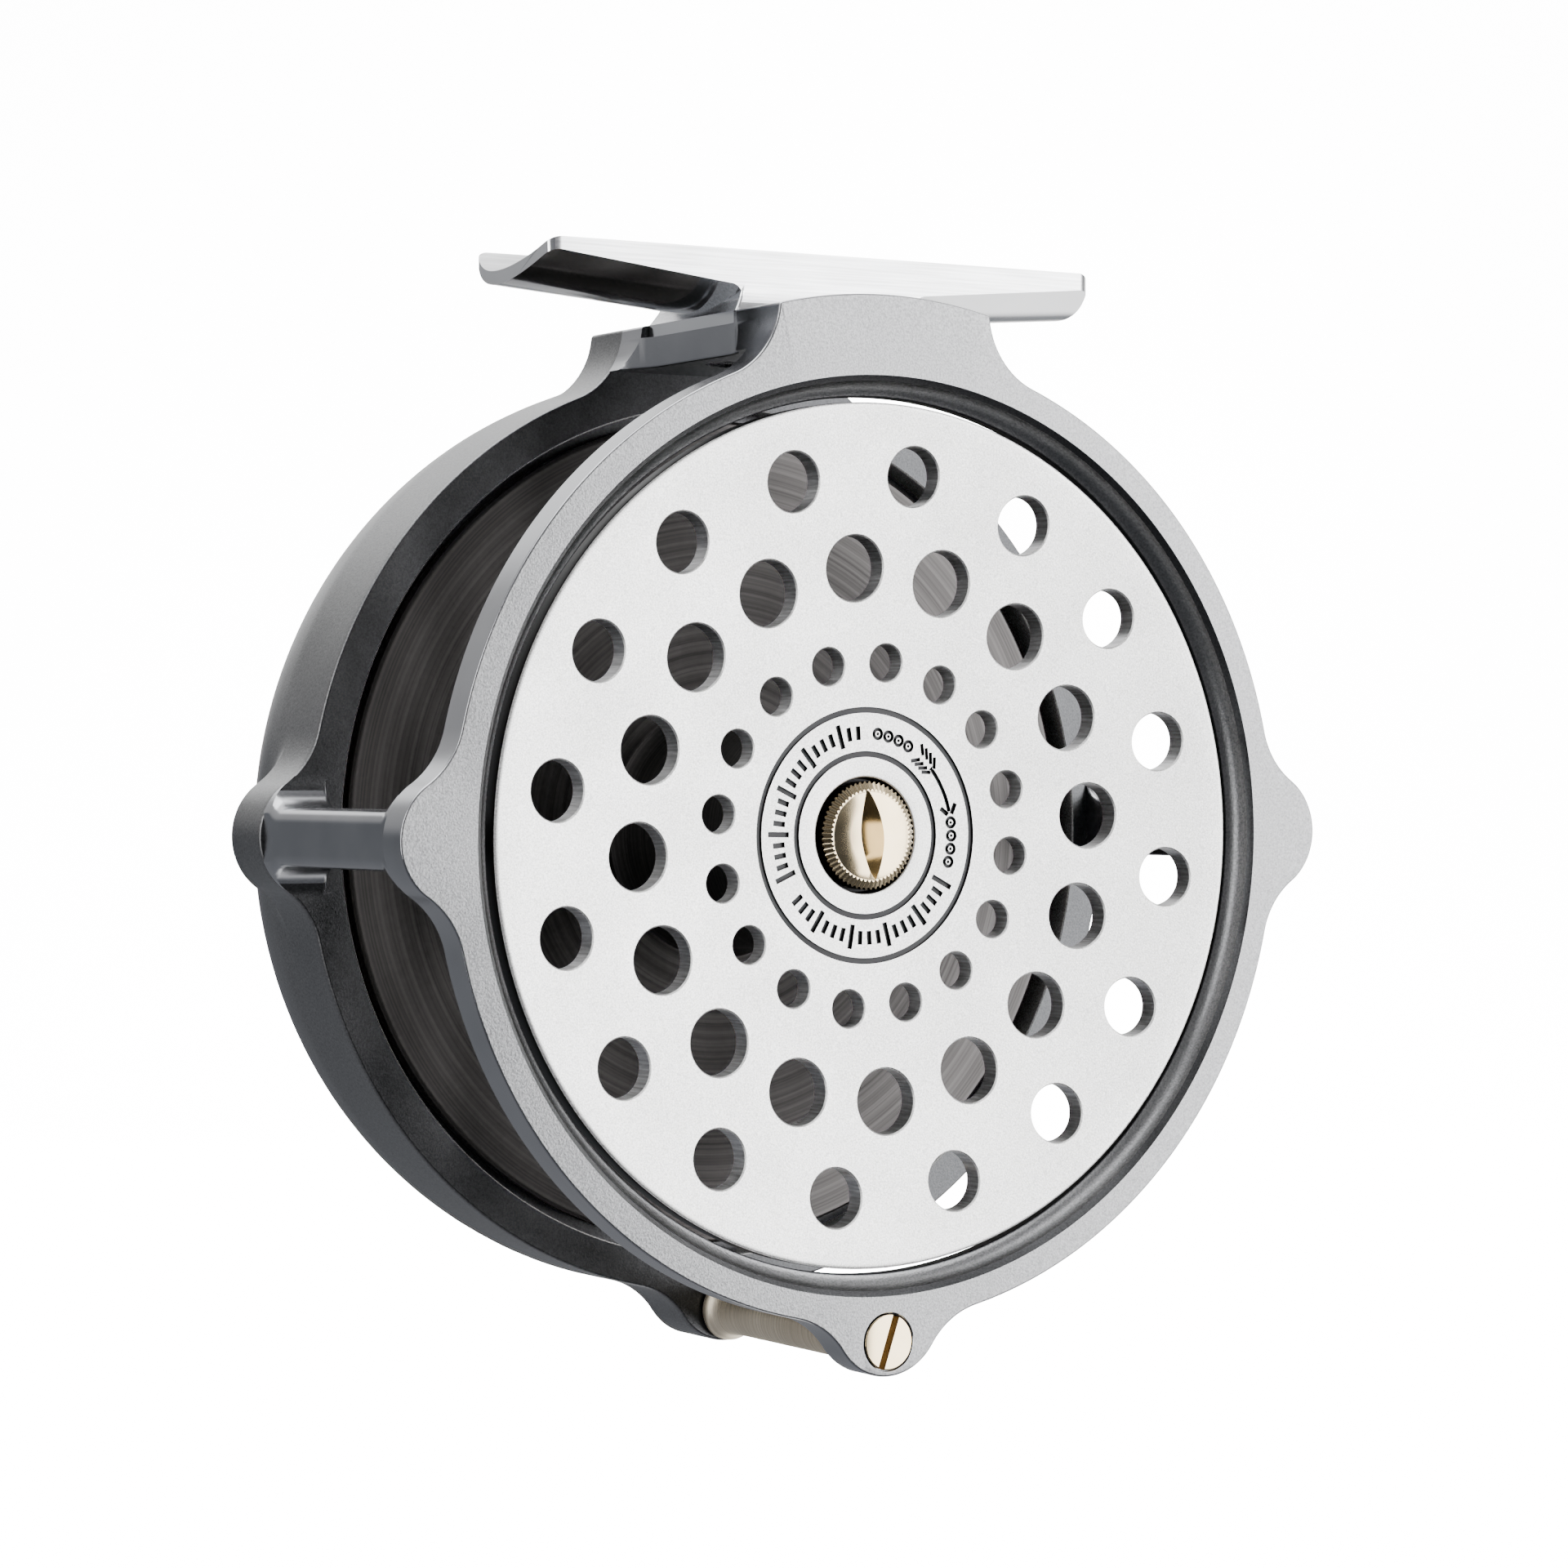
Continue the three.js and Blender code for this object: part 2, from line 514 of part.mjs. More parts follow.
function retainingRing() {
  const outer = SEAT_R + 0.35;
  const points = [...arc(0, 0, outer, 20, 340, 12), ...arc(0, 0, SEAT_R - 0.9, 340, 20, 12)];
  return extrudedAlongY(points, BOSS_END - 0.58, BOSS_END - 0.1);
}

// ---------------------------------------------------------------- check

function ratchetWheel() {
  const points = Array.from({ length: RATCHET_TEETH }, (_, i) => {
    const step = 360 / RATCHET_TEETH;
    const at = (angle, r) => new THREE.Vector2(r * Math.cos(rad(angle)), r * Math.sin(rad(angle)));
    return [at(i * step, RATCHET_R), at((i + 0.5) * step, RATCHET_ROOT)];
  }).flat();
  const wheel = extrudedAlongY(points, RATCHET_FRONT, RATCHET_BACK);
  const hub = disc(4.8, BEARING_FRONT + 2 * BEARING_WIDTH + BEARING_SPACE, HUB_FRONT);
  return wheel.add(hub).subtract(disc(SPINDLE_R + FIT, 30, 50));
}

function checkPlace(body) {
  // Turns a piece drawn along +X to the regulator's radius.
  return spunAboutY(body, REGULATOR_ANGLE);
}

function pawl() {
  const angle = THREE.MathUtils.radToDeg(Math.atan2(PAWL_PIVOT.across, PAWL_PIVOT.out));
  const points = [
    new THREE.Vector2(PAWL_TIP.out, PAWL_TIP.across),
    new THREE.Vector2(PAWL_TIP.out + 2.2, PAWL_TIP.across - 0.3),
    new THREE.Vector2(PAWL_PIVOT.out + 2.2, PAWL_PIVOT.across - 2.9),
    ...arc(PAWL_PIVOT.out, PAWL_PIVOT.across, PAWL_EYE_R, angle - 60, angle + 130, 6),
  ];
  const lever = extrudedAlongY(points, RATCHET_FRONT, RATCHET_BACK);
  const eye = moved(disc(1.9, 30, 50, 16), PAWL_PIVOT.out, 0, PAWL_PIVOT.across);
  return checkPlace(lever.subtract(eye));
}

function pawlPost() {
  const post = turned([
    [0, WEB_BACK], [2.6, WEB_BACK], [2.6, RATCHET_FRONT - 0.3], [1.6, RATCHET_FRONT - 0.3],
    [1.6, RATCHET_BACK + 0.3], [2.6, RATCHET_BACK + 0.3], [2.6, RATCHET_BACK + 1], [0, RATCHET_BACK + 1],
  ], 16);
  return checkPlace(moved(post, PAWL_PIVOT.out, 0, PAWL_PIVOT.across));
}

function spring() {
  // A flat leaf that runs inwards beside the cam and ends against the pawl.
  return checkPlace(block(SPRING_TIP, SPRING_OUTER, RATCHET_FRONT - 1, RATCHET_BACK + 1,
    SPRING_LINE, SPRING_LINE + SPRING_THICK));
}

function springPost() {
  const inner = SPRING_LINE + SPRING_THICK;
  return checkPlace(block(35, SPRING_OUTER - 0.3, WEB_BACK, RATCHET_BACK + 1.3, inner, inner + 3.5));
}

function regulatorKnob() {
  // Fluted knob outside the cup, with its spindle through the wall.
  const knobInner = RING_R + 0.5;
  const head = turned([
    [0, CAM_AT - 1.2], [1.2, CAM_AT - 1.2], [1.2, CAM_AT + 2.6], [1.6, CAM_AT + 2.6],
    [1.6, knobInner], [KNOB_R - 0.2, knobInner], [KNOB_R, knobInner + 0.4],
    [KNOB_R, knobInner + 2.8], [KNOB_R - 0.4, knobInner + 3.2], [0, knobInner + 3.2],
  ], 16);
  return regulatorAxis(head);
}

function regulatorCam() {
  const cam = moved(disc(CAM_R, CAM_AT, CAM_AT + 2.3, 16), CAM_THROW, 0, 0);
  return regulatorAxis(cam.subtract(disc(1.4, CAM_AT - 2, CAM_AT + 5, 12)));
}

// ---------------------------------------------------------------- handle

function handlePlate() {
  const body = turned([
    [0, HUB_FRONT], [7, HUB_FRONT], [7, HANDLE_PLATE_FRONT], [HANDLE_PLATE_R - 0.5, HANDLE_PLATE_FRONT],
    [HANDLE_PLATE_R, HANDLE_PLATE_FRONT + 0.5], [HANDLE_PLATE_R, HANDLE_PLATE_BACK - 0.6],
    [HANDLE_PLATE_R - 0.6, HANDLE_PLATE_BACK], [5.9, HANDLE_PLATE_BACK], [5.9, HANDLE_PLATE_SEAT],
    [0, HANDLE_PLATE_SEAT],
  ], COARSE);
  const half = DRIVE_SQUARE / 2 + FIT;
  const square = block(-half, half, HUB_FRONT - 1, HANDLE_PLATE_BACK, -half, half);
  return cut(body, [square, atHandle(disc(2.8, HANDLE_PLATE_FRONT - 1, HANDLE_PLATE_BACK + 1, 16))]);
}

function atHandle(body) {
  return moved(body, HANDLE_OFFSET * Math.cos(rad(HANDLE_ANGLE)), 0,
    HANDLE_OFFSET * Math.sin(rad(HANDLE_ANGLE)));
}

function handlePlateScrew() {
  const seat = HANDLE_PLATE_SEAT;
  const screw = turned([
    [0, 38], [1.5, 38], [1.5, seat], [5.5, seat], [5.5, seat + 1.5], [4.9, seat + 2.1],
    [0, seat + 2.3],
  ], FINE);
  return screw.subtract(block(-7, 7, seat + 1.2, seat + 4, -0.6, 0.6));
}

function handleStem() {
  return atHandle(turned([
    [0, HANDLE_PLATE_FRONT + 0.2], [2.5, HANDLE_PLATE_FRONT + 0.2], [2.5, HANDLE_PLATE_BACK],
    [4.6, HANDLE_PLATE_BACK], [4.6, HANDLE_PLATE_BACK + 1.2], [STEM_R, HANDLE_PLATE_BACK + 1.2],
    [STEM_R, HANDLE_END - 4.5], [1.2, HANDLE_END - 4.5], [1.2, HANDLE_END - 2.4], [0, HANDLE_END - 2.4],
  ], 16));
}

function handleKnob() {
  const start = HANDLE_PLATE_BACK + 1.5;
  const bore = STEM_R + FIT;
  return atHandle(turned([
    [bore, start], [4.9, start], [5.3, start + 0.8], [4.6, start + 4], [4.7, start + 8],
    [5.8, start + 14], [6.4, start + 17.5], [6.2, start + 20], [5.2, HANDLE_END - 0.4],
    [4.2, HANDLE_END - 0.2], [4.2, HANDLE_END - 4.2], [bore, HANDLE_END - 4.2],
  ], FINE));
}

function handleEndCap() {
  const cap = tube(1.4, 3.6, HANDLE_END - 3.9, HANDLE_END - 2.2, 16);
  const face = turned([
    [0, HANDLE_END - 2.25], [3.6, HANDLE_END - 2.25], [3.6, HANDLE_END - 0.6], [2.6, HANDLE_END],
    [0, HANDLE_END],
  ], 16);
  return atHandle(cap.add(face).subtract(block(-5, 5, HANDLE_END - 0.8, HANDLE_END + 1, -0.4, 0.4)));
}

// ---------------------------------------------------------------- line guard

function guardRoller() {
  const start = RING_BACK + 0.35;
  const end = CUP_FRONT - 0.35;
  const flare = (y, s) => [
    [GUARD_COLLAR_R, y], [GUARD_COLLAR_R, y + s * 0.6], [GUARD_R + 0.25, y + s * 1.2],
    [GUARD_R, y + s * 2.2],
  ];
  return moved(turned([
    [1.6, start], ...flare(start, 1), ...flare(end, -1).reverse(), [1.6, end],
  ]), 0, 0, GUARD_Z);
}

function guardAxle() {
  const headBack = RING_FRONT + GUARD_SCREW_HEAD;
  const screw = turned([
    [0, RING_FRONT], [GUARD_SCREW_HEAD_R, RING_FRONT], [GUARD_SCREW_HEAD_R, headBack],
    [1.3, headBack], [1.3, CUP_FRONT + 4.2], [0, CUP_FRONT + 4.2],
  ], 16);
  const slot = spunAboutY(block(-3, 3, RING_FRONT - 1, RING_FRONT + 0.7, -0.35, 0.35), GUARD_SLOT_ANGLE);
  return moved(screw.subtract(slot), 0, 0, GUARD_Z);
}

// ---------------------------------------------------------------- materials and assembly

const metal = (color, roughness) => new THREE.MeshStandardMaterial({ color, roughness, metalness: 1 });
const satinSilver = metal(0xb9bbbd, 0.42);
const plateSilver = metal(0xd0d0ce, 0.4);
const flangeGrey = metal(0x77716d, 0.3);
const brightAluminium = metal(0xdfe1e4, 0.22);
const nickelSilver = metal(0xcfc3a0, 0.22);
const steel = metal(0xa6a8ab, 0.3);
const bronze = metal(0x9a7445, 0.35);
const springSteel = metal(0x6d7480, 0.3);
const resin = new THREE.MeshStandardMaterial({ color: 0x16120f, roughness: 0.25, metalness: 0 });

const rear = BEARING_FRONT + BEARING_WIDTH + BEARING_SPACE;
const reel = new THREE.Group();
reel.position.set(0, -FOOT_MIDDLE, -SADDLE_BOTTOM);

function add(name, body, material) {
  const mesh = new THREE.Mesh(geometryOf(body), material.clone());
  mesh.name = name;
  reel.add(mesh);
}

add('frame_cage', cage(), satinSilver);
add('reel_foot', foot(), brightAluminium);
add('foot_screw_left', footScrew(-FOOT_SCREW_X), steel);
add('foot_screw_right', footScrew(FOOT_SCREW_X), steel);
add('guard_roller', guardRoller(), nickelSilver);
add('guard_axle_screw', guardAxle(), nickelSilver);
add('spool_front_plate', frontPlate(), plateSilver);
add('spool_arbor', arbor(), flangeGrey);
add('spool_back_flange', backFlange(), flangeGrey);
add('spool_bush', tube(SPINDLE_R + FIT, 5.4, PLUG_END, DRIVE_PIN_Y - DRIVE_PIN_R - FIT), bronze);
flangeScrewSpots.forEach((spot, i) => add(`flange_screw_${i + 1}`, flangeScrew(spot), steel));
add('spindle', spindle(), steel);
add('drive_pin', moved(disc(DRIVE_PIN_R, -DRIVE_PIN_HALF, DRIVE_PIN_HALF, 12).rotate([0, 0, 90]),
  0, DRIVE_PIN_Y, 0), steel);
add('lock_screw', lockScrew(), nickelSilver);
[['front', BEARING_FRONT], ['rear', rear]].forEach(([which, start]) => {
  add(`${which}_bearing_inner_ring`, bearingRing(BEARING_BORE_R, 4.8, start, 'outside'), steel);
  add(`${which}_bearing_outer_ring`, bearingRing(6, BEARING_R, start, 'inside'), steel);
  add(`${which}_bearing_balls`, ballSet(start), steel);
});
add('bearing_spacer', tube(BEARING_BORE_R, 4.7, rear - BEARING_SPACE, rear), steel);
add('bearing_retaining_ring', retainingRing(), springSteel);
add('ratchet_wheel', ratchetWheel(), steel);
add('check_pawl', pawl(), steel);
add('pawl_pivot_post', pawlPost(), steel);
add('check_spring', spring(), springSteel);
add('spring_post', springPost(), nickelSilver);
add('regulator_knob', regulatorKnob(), nickelSilver);
add('regulator_cam', regulatorCam(), steel);
add('handle_plate', handlePlate(), satinSilver);
add('handle_plate_screw', handlePlateScrew(), nickelSilver);
add('handle_stem', handleStem(), nickelSilver);
add('handle_knob', handleKnob(), resin);
add('handle_end_cap', handleEndCap(), nickelSilver);

const group = new THREE.Group();
group.add(reel);

export default group;
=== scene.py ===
"""Fly reel: fine surfaces, metals, floor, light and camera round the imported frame.

Shapes are drawn in millimetres from the spindle's axis (X right, Y towards the handle, Z up)
and then put in the row frame in metres.
"""

import json
import math

import bmesh
import bpy
from mathutils import Matrix, Vector


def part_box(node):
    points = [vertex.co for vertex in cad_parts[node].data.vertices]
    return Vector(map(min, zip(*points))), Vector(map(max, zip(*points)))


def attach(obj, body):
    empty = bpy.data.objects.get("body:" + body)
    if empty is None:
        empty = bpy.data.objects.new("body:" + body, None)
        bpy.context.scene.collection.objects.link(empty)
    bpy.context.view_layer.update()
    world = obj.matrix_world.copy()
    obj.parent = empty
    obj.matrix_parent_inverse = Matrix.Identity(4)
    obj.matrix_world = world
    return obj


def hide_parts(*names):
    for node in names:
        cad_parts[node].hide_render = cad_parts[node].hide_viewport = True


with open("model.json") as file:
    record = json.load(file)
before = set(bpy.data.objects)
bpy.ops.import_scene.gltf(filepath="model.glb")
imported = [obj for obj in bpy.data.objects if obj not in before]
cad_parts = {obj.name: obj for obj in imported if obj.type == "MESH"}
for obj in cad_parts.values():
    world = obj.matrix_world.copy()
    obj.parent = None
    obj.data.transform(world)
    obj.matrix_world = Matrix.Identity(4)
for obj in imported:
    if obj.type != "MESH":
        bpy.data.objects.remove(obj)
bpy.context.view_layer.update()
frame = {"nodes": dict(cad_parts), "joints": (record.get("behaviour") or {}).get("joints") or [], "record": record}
joints = {joint["name"]: joint for joint in frame["joints"]}
AXIS = Vector(joints["spool_spin"]["pos_m"])
TO_ROW = Matrix.Translation(AXIS) @ Matrix.Scale(0.001, 4)


def local(point):
    """A point of the row frame in the drawing's millimetres."""
    return (Vector(point) - AXIS) * 1000


def local_box(node):
    low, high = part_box(node)
    return local(low), local(high)


# ---------------------------------------------------------------- sizes

cage_low, cage_high = local_box("frame_cage")
plate_high = local_box("spool_front_plate")[1]
flange_low, flange_high = local_box("spool_back_flange")
foot_low, foot_high = local_box("reel_foot")
roller_low, roller_high = local_box("guard_roller")
axle_high = local_box("guard_axle_screw")[1]
lock_low, lock_high = local_box("lock_screw")
rear_low, rear_high = local_box("handle_plate")
knob_low = local_box("handle_knob")[0]
HANDLE = local(joints["handle_spin"]["pos_m"])
GUARD = local(joints["line_roller_spin"]["pos_m"])

RING_FRONT = cage_low.y
RING_THICK = 3.7
EDGE_ROUND = 0.22       # the round of the front ring's outer edge
BACK_ROUND = 0.2
CUP_ROUND = 0.25
LIP_DEPTH = 2.3         # from the front face to the straight wall of the opening
RING_BACK = RING_FRONT + RING_THICK
CUP_FRONT = 27.2
LOBE_BACK = 33.6
CUP_REAR = cage_high.y
RING_R = 45.5
TOP_R = cage_high.z
LOBE_R = 6
LOBE_CENTRE = TOP_R - LOBE_R
LOBE_FILLET = 8
TOP_FILLET = 7.8
TOP_FILLET_ANGLE = 21.4
OPENING_R = 41
LIP_R = 42.85
COVE_R = 42.6           # widest radius of the hollow inside the lip
PILLAR_HALF = 2.7
PILLAR_INNER = 43.7
PILLAR_OUTER = TOP_R - 0.45
BRIDGE_HALF = 11.2
BRIDGE_UNDER = 45
BRIDGE_FILLET = 6.5
BRIDGE_SPREAD = 4.6     # the most that its fillets widen it
DOME_START = 35
DOME_ARC = 20.4
POCKET_R = 42
WEB_FRONT = 30.4
WEB_BACK = 33
REAR_OPENING_R = 39.4
PLATE_R = plate_high.x
DISH_DEPTH = 1.72
DISH_RADIUS = 336.5
PLATE_THICK = 2.2
PLATE_HOLES = ((34, 2.8, 172.6), (25.07, 3.1, 161.35), (16.36, 1.75, 172.6))
HOLES_IN_RING = 16
LOCK_RECESS_R = 5.45
LOCK_SEAT = 3.3
FLANGE_R = flange_high.x
FLANGE_BACK = flange_high.y
FLANGE_FRONT = FLANGE_BACK - 1.6
FLANGE_FLOOR = flange_low.y + 1.7
FOOT_MIDDLE = (foot_low.y + foot_high.y) / 2
PLINTH_SPREAD = 0.9
PLINTH_HALF = 11.05
FOOT_HALF = (foot_high.y - foot_low.y) / 2 - PLINTH_SPREAD
FOOT_TOP = foot_high.z
SEAT_HALF = 20
SADDLE_BOTTOM = -AXIS.z * 1000
PEDESTAL_HALF = 9.7
PEDESTAL_BOTTOM = foot_low.z
ROOT_UNDER = 49.4
TIP_UNDER = 51.2
ROOT_FILLET = 1.1
EDGE_RISE = 2.3
LEFT_EDGE_RISE = 0.5    # how much more the edges rise at the left tip
BULGE_START = 20
END_BULGE = 1.8         # how far the middle of each end stands out, seen from above
MARK_R = 9.63           # middle of the band of engraved marks
MARK_DEPTH = 0.28
ROLLER_R = 2.35
COLLAR_R = roller_high.x
AXLE_R = axle_high.x
REAR = rear_high.y
REAR_R = rear_high.x
HUB = rear_low.y
REAR_SEAT = REAR - 1.8
KNOB_FACE = RING_R + 0.5
STATIONS = 24           # points across the saddle


# ---------------------------------------------------------------- shape helpers


def raw(name, points, faces):
    """A closed mesh with its faces pointing out."""
    mesh = bpy.data.meshes.new(name)
    mesh.from_pydata([tuple(point) for point in points], [], faces)
    build = bmesh.new()
    build.from_mesh(mesh)
    bmesh.ops.remove_doubles(build, verts=build.verts, dist=1e-5)
    bmesh.ops.dissolve_degenerate(build, edges=build.edges, dist=1e-6)
    bmesh.ops.recalc_face_normals(build, faces=build.faces)
    build.to_mesh(mesh)
    build.free()
    obj = bpy.data.objects.new(name, mesh)
    bpy.context.scene.collection.objects.link(obj)
    return obj


def soften(points, steps=4, closed=True):
    """Rounds the corners of an outline. Each point is (u, v) or (u, v, size of its round)."""
    out = []
    count = len(points)
    for index, point in enumerate(points):
        here = Vector(point[:2])
        size = point[2] if len(point) > 2 else 0
        is_end = not closed and index in (0, count - 1)
        if size <= 0 or is_end:
            out.append(here)
            continue
        before = Vector(points[index - 1][:2]) - here
        after = Vector(points[(index + 1) % count][:2]) - here
        start = here + before.normalized() * min(size, before.length * 0.48)
        end = here + after.normalized() * min(size, after.length * 0.48)
        for step in range(steps + 1):
            t = step / steps
            out.append(start * (1 - t) ** 2 + here * 2 * t * (1 - t) + end * t * t)
    return out


def arc(cx, cz, radius, start, end, count):
    """Points on an arc, with its angles in degrees."""
    turn = [math.radians(start + (end - start) * i / count) for i in range(count + 1)]
    return [Vector((cx + radius * math.cos(a), cz + radius * math.sin(a))) for a in turn]


def turned(name, profile, sides=128, steps=4, middle=(0, 0)):
    """Turns a closed outline of (radius, y) points about an axis along Y."""
    points, rows = [], []
    for r, y in soften(profile, steps):
        first = len(points)
        if r < 1e-6:
            points.append((middle[0], y, middle[1]))
            rows.append([first] * sides)
            continue
        for k in range(sides):
            a = 2 * math.pi * k / sides
            points.append((middle[0] + r * math.cos(a), y, middle[1] + r * math.sin(a)))
        rows.append(list(range(first, first + sides)))
    faces = []
    for row, following in zip(rows, rows[1:] + rows[:1]):
        for k in range(sides):
            m = (k + 1) % sides
            corners = []
            for corner in (row[k], row[m], following[m], following[k]):
                if corner not in corners:
                    corners.append(corner)
            if len(corners) > 2:
                faces.append(corners)
    return raw(name, points, faces)


def loft(name, sections, ring=False):
    """Joins closed sections that have the same number of points."""
    count = len(sections[0])
    points = [point for section in sections for point in section]
    faces = []
    total = len(sections) if ring else len(sections) - 1
    for i in range(total):
        here, there = i * count, ((i + 1) % len(sections)) * count
        for k in range(count):
            m = (k + 1) % count
            faces.append((here + k, here + m, there + m, there + k))
    if not ring:
        faces.append(tuple(range(count)))
        faces.append(tuple(range(len(points) - count, len(points))))
    return raw(name, points, faces)


def prism(name, outline, y0, y1):
    """An outline of (x, z) points, from y0 to y1."""
    return loft(name, [[(x, y, z) for x, z in outline] for y in (y0, y1)])


def block(name, x0, x1, y0, y1, z0, z1):
    return prism(name, [(x0, z0), (x1, z0), (x1, z1), (x0, z1)], y0, y1)


def changed(obj, matrix):
    """Moves the shape's own points."""
    obj.data.transform(matrix)
    if matrix.determinant() < 0:
        obj.data.flip_normals()
    return obj


def spun(obj, degrees):
    """Turns a shape about the Y axis, from +X towards +Z."""
    return changed(obj, Matrix.Rotation(math.radians(-degrees), 4, "Y"))


def joined(name, objects):
    """One object from several that don't touch."""
    build = bmesh.new()
    for obj in objects:
        build.from_mesh(obj.data)
        bpy.data.objects.remove(obj)
    mesh = bpy.data.meshes.new(name)
    build.to_mesh(mesh)
    build.free()
    obj = bpy.data.objects.new(name, mesh)
    bpy.context.scene.collection.objects.link(obj)
    return obj


def boolean(target, tool, operation):
    """Applies a boolean and removes its tool."""
    modifier = target.modifiers.new("boolean", "BOOLEAN")
    modifier.object = tool
    modifier.operation = operation
    modifier.solver = "MANIFOLD"
    graph = bpy.context.evaluated_depsgraph_get()
    mesh = bpy.data.meshes.new_from_object(target.evaluated_get(graph))
    target.modifiers.clear()
    target.data = mesh
    bpy.data.objects.remove(tool)
    return target


def cut(target, *tools):
    for tool in tools:
        boolean(target, tool, "DIFFERENCE")
    return target


def fused(target, *tools):
    for tool in tools:
        boolean(target, tool, "UNION")
    return target


def finished(obj, material, body, nodes, sharp=32):
    """Puts a drawn shape in the row frame, with smooth faces, its metal and its CAD body."""
    obj.data.transform(TO_ROW)
    obj.data.materials.clear()
    obj.data.materials.append(material)
    obj.data.shade_smooth()
    obj.data.set_sharp_from_angle(angle=math.radians(sharp))
    weighted = obj.modifiers.new("normals", "WEIGHTED_NORMAL")
    weighted.keep_sharp = True
    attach(obj, body)
    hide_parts(*nodes)
    return obj


# ---------------------------------------------------------------- materials

NOISE_LOW = 0.3         # the span of a noise that holds nearly all of it
NOISE_HIGH = 0.7
GRAIN_HEIGHT = 0.00003  # metres
LINE_HEIGHT = 0.00001


class Nodes:
    """Small helper that adds nodes to a material and links them."""

    def __init__(self, name):
        self.material = bpy.data.materials.new(name)
        self.material.use_nodes = True
        self.tree = self.material.node_tree
        self.shader = self.tree.nodes["Principled BSDF"]

    def add(self, kind, **values):
        node = self.tree.nodes.new(kind)
        for key, value in values.items():
            setattr(node, key, value)
        return node

    def link(self, source, target):
        self.tree.links.new(source, target)

    def coordinates(self):
        return self.add("ShaderNodeTexCoord").outputs["Object"]

    def noise(self, vector, scale, detail=2.0):
        node = self.add("ShaderNodeTexNoise")
        node.inputs["Scale"].default_value = scale
        node.inputs["Detail"].default_value = detail
        self.link(vector, node.inputs["Vector"])
        return node.outputs["Fac"]

    def ramp(self, value, low, high):
        node = self.add("ShaderNodeValToRGB")
        node.color_ramp.elements[0].position = NOISE_LOW
        node.color_ramp.elements[0].color = (*low, 1)
        node.color_ramp.elements[1].position = NOISE_HIGH
        node.color_ramp.elements[1].color = (*high, 1)
        self.link(value, node.inputs["Fac"])
        return node.outputs["Color"]

    def span(self, value, low, high):
        node = self.add("ShaderNodeMapRange")
        node.inputs["From Min"].default_value = NOISE_LOW
        node.inputs["From Max"].default_value = NOISE_HIGH
        node.inputs["To Min"].default_value = low
        node.inputs["To Max"].default_value = high
        self.link(value, node.inputs["Value"])
        return node.outputs["Result"]

    def bump(self, height, strength, distance, below=None):
        node = self.add("ShaderNodeBump")
        node.inputs["Strength"].default_value = strength
        node.inputs["Distance"].default_value = distance
        self.link(height, node.inputs["Height"])
        if below is not None:
            self.link(below, node.inputs["Normal"])
        return node.outputs["Normal"]

    def stretched(self, vector, factors):
        node = self.add("ShaderNodeMapping")
        node.inputs["Scale"].default_value = factors
        self.link(vector, node.inputs["Vector"])
        return node.outputs["Vector"]

    def around(self, vector, centre):
        """(radius, position along Y, 0) about an axis along Y: the lines that turning leaves."""
        moved = self.add("ShaderNodeVectorMath", operation="SUBTRACT")
        moved.inputs[1].default_value = (centre[0], 0, centre[2])
        self.link(vector, moved.inputs[0])
        parts = self.add("ShaderNodeSeparateXYZ")
        self.link(moved.outputs["Vector"], parts.inputs["Vector"])
        flat = self.add("ShaderNodeCombineXYZ")
        self.link(parts.outputs["X"], flat.inputs["X"])
        self.link(parts.outputs["Z"], flat.inputs["Z"])
        length = self.add("ShaderNodeVectorMath", operation="LENGTH")
        self.link(flat.outputs["Vector"], length.inputs[0])
        out = self.add("ShaderNodeCombineXYZ")
        self.link(length.outputs["Value"], out.inputs["X"])
        self.link(parts.outputs["Y"], out.inputs["Y"])
        return out.outputs["Vector"]


def metal(name, dark, light, rough, grain=None, lines=None, cloud=120, speckle=None):
    """A metal whose tone, gloss and surface vary a little.

    rough is (smoothest, roughest). grain is (grains per metre, strength) of a blasted surface.
    lines is (kind, strength), where kind is "turned" with a centre, or a direction to stretch.
    speckle is (dark, light), factors of the tone from grain to grain or from line to line.
    """
    n = Nodes(name)
    n.shader.inputs["Metallic"].default_value = 1.0
    where = n.coordinates()
    broad = n.noise(where, cloud, 3.0)
    tone = n.ramp(broad, dark, light)
    n.link(n.span(broad, rough[0], rough[1]), n.shader.inputs["Roughness"])
    normal = None
    fine = None
    if grain:
        fine = n.noise(where, grain[0], 3.0)
        normal = n.bump(fine, grain[1], GRAIN_HEIGHT)
    if lines:
        kind, strength = lines
        if kind[0] == "turned":
            fine = n.noise(n.around(where, kind[1]), 3500, 6.0)
        else:
            fine = n.noise(n.stretched(where, kind[1]), 5000, 3.0)
        normal = n.bump(fine, strength, LINE_HEIGHT, normal)
    if normal is not None:
        n.link(normal, n.shader.inputs["Normal"])
    if speckle:
        scaled = n.add("ShaderNodeVectorMath", operation="SCALE")
        n.link(tone, scaled.inputs[0])
        n.link(n.span(fine, *speckle), scaled.inputs["Scale"])
        tone = scaled.outputs["Vector"]
    n.link(tone, n.shader.inputs["Base Color"])
    return n.material


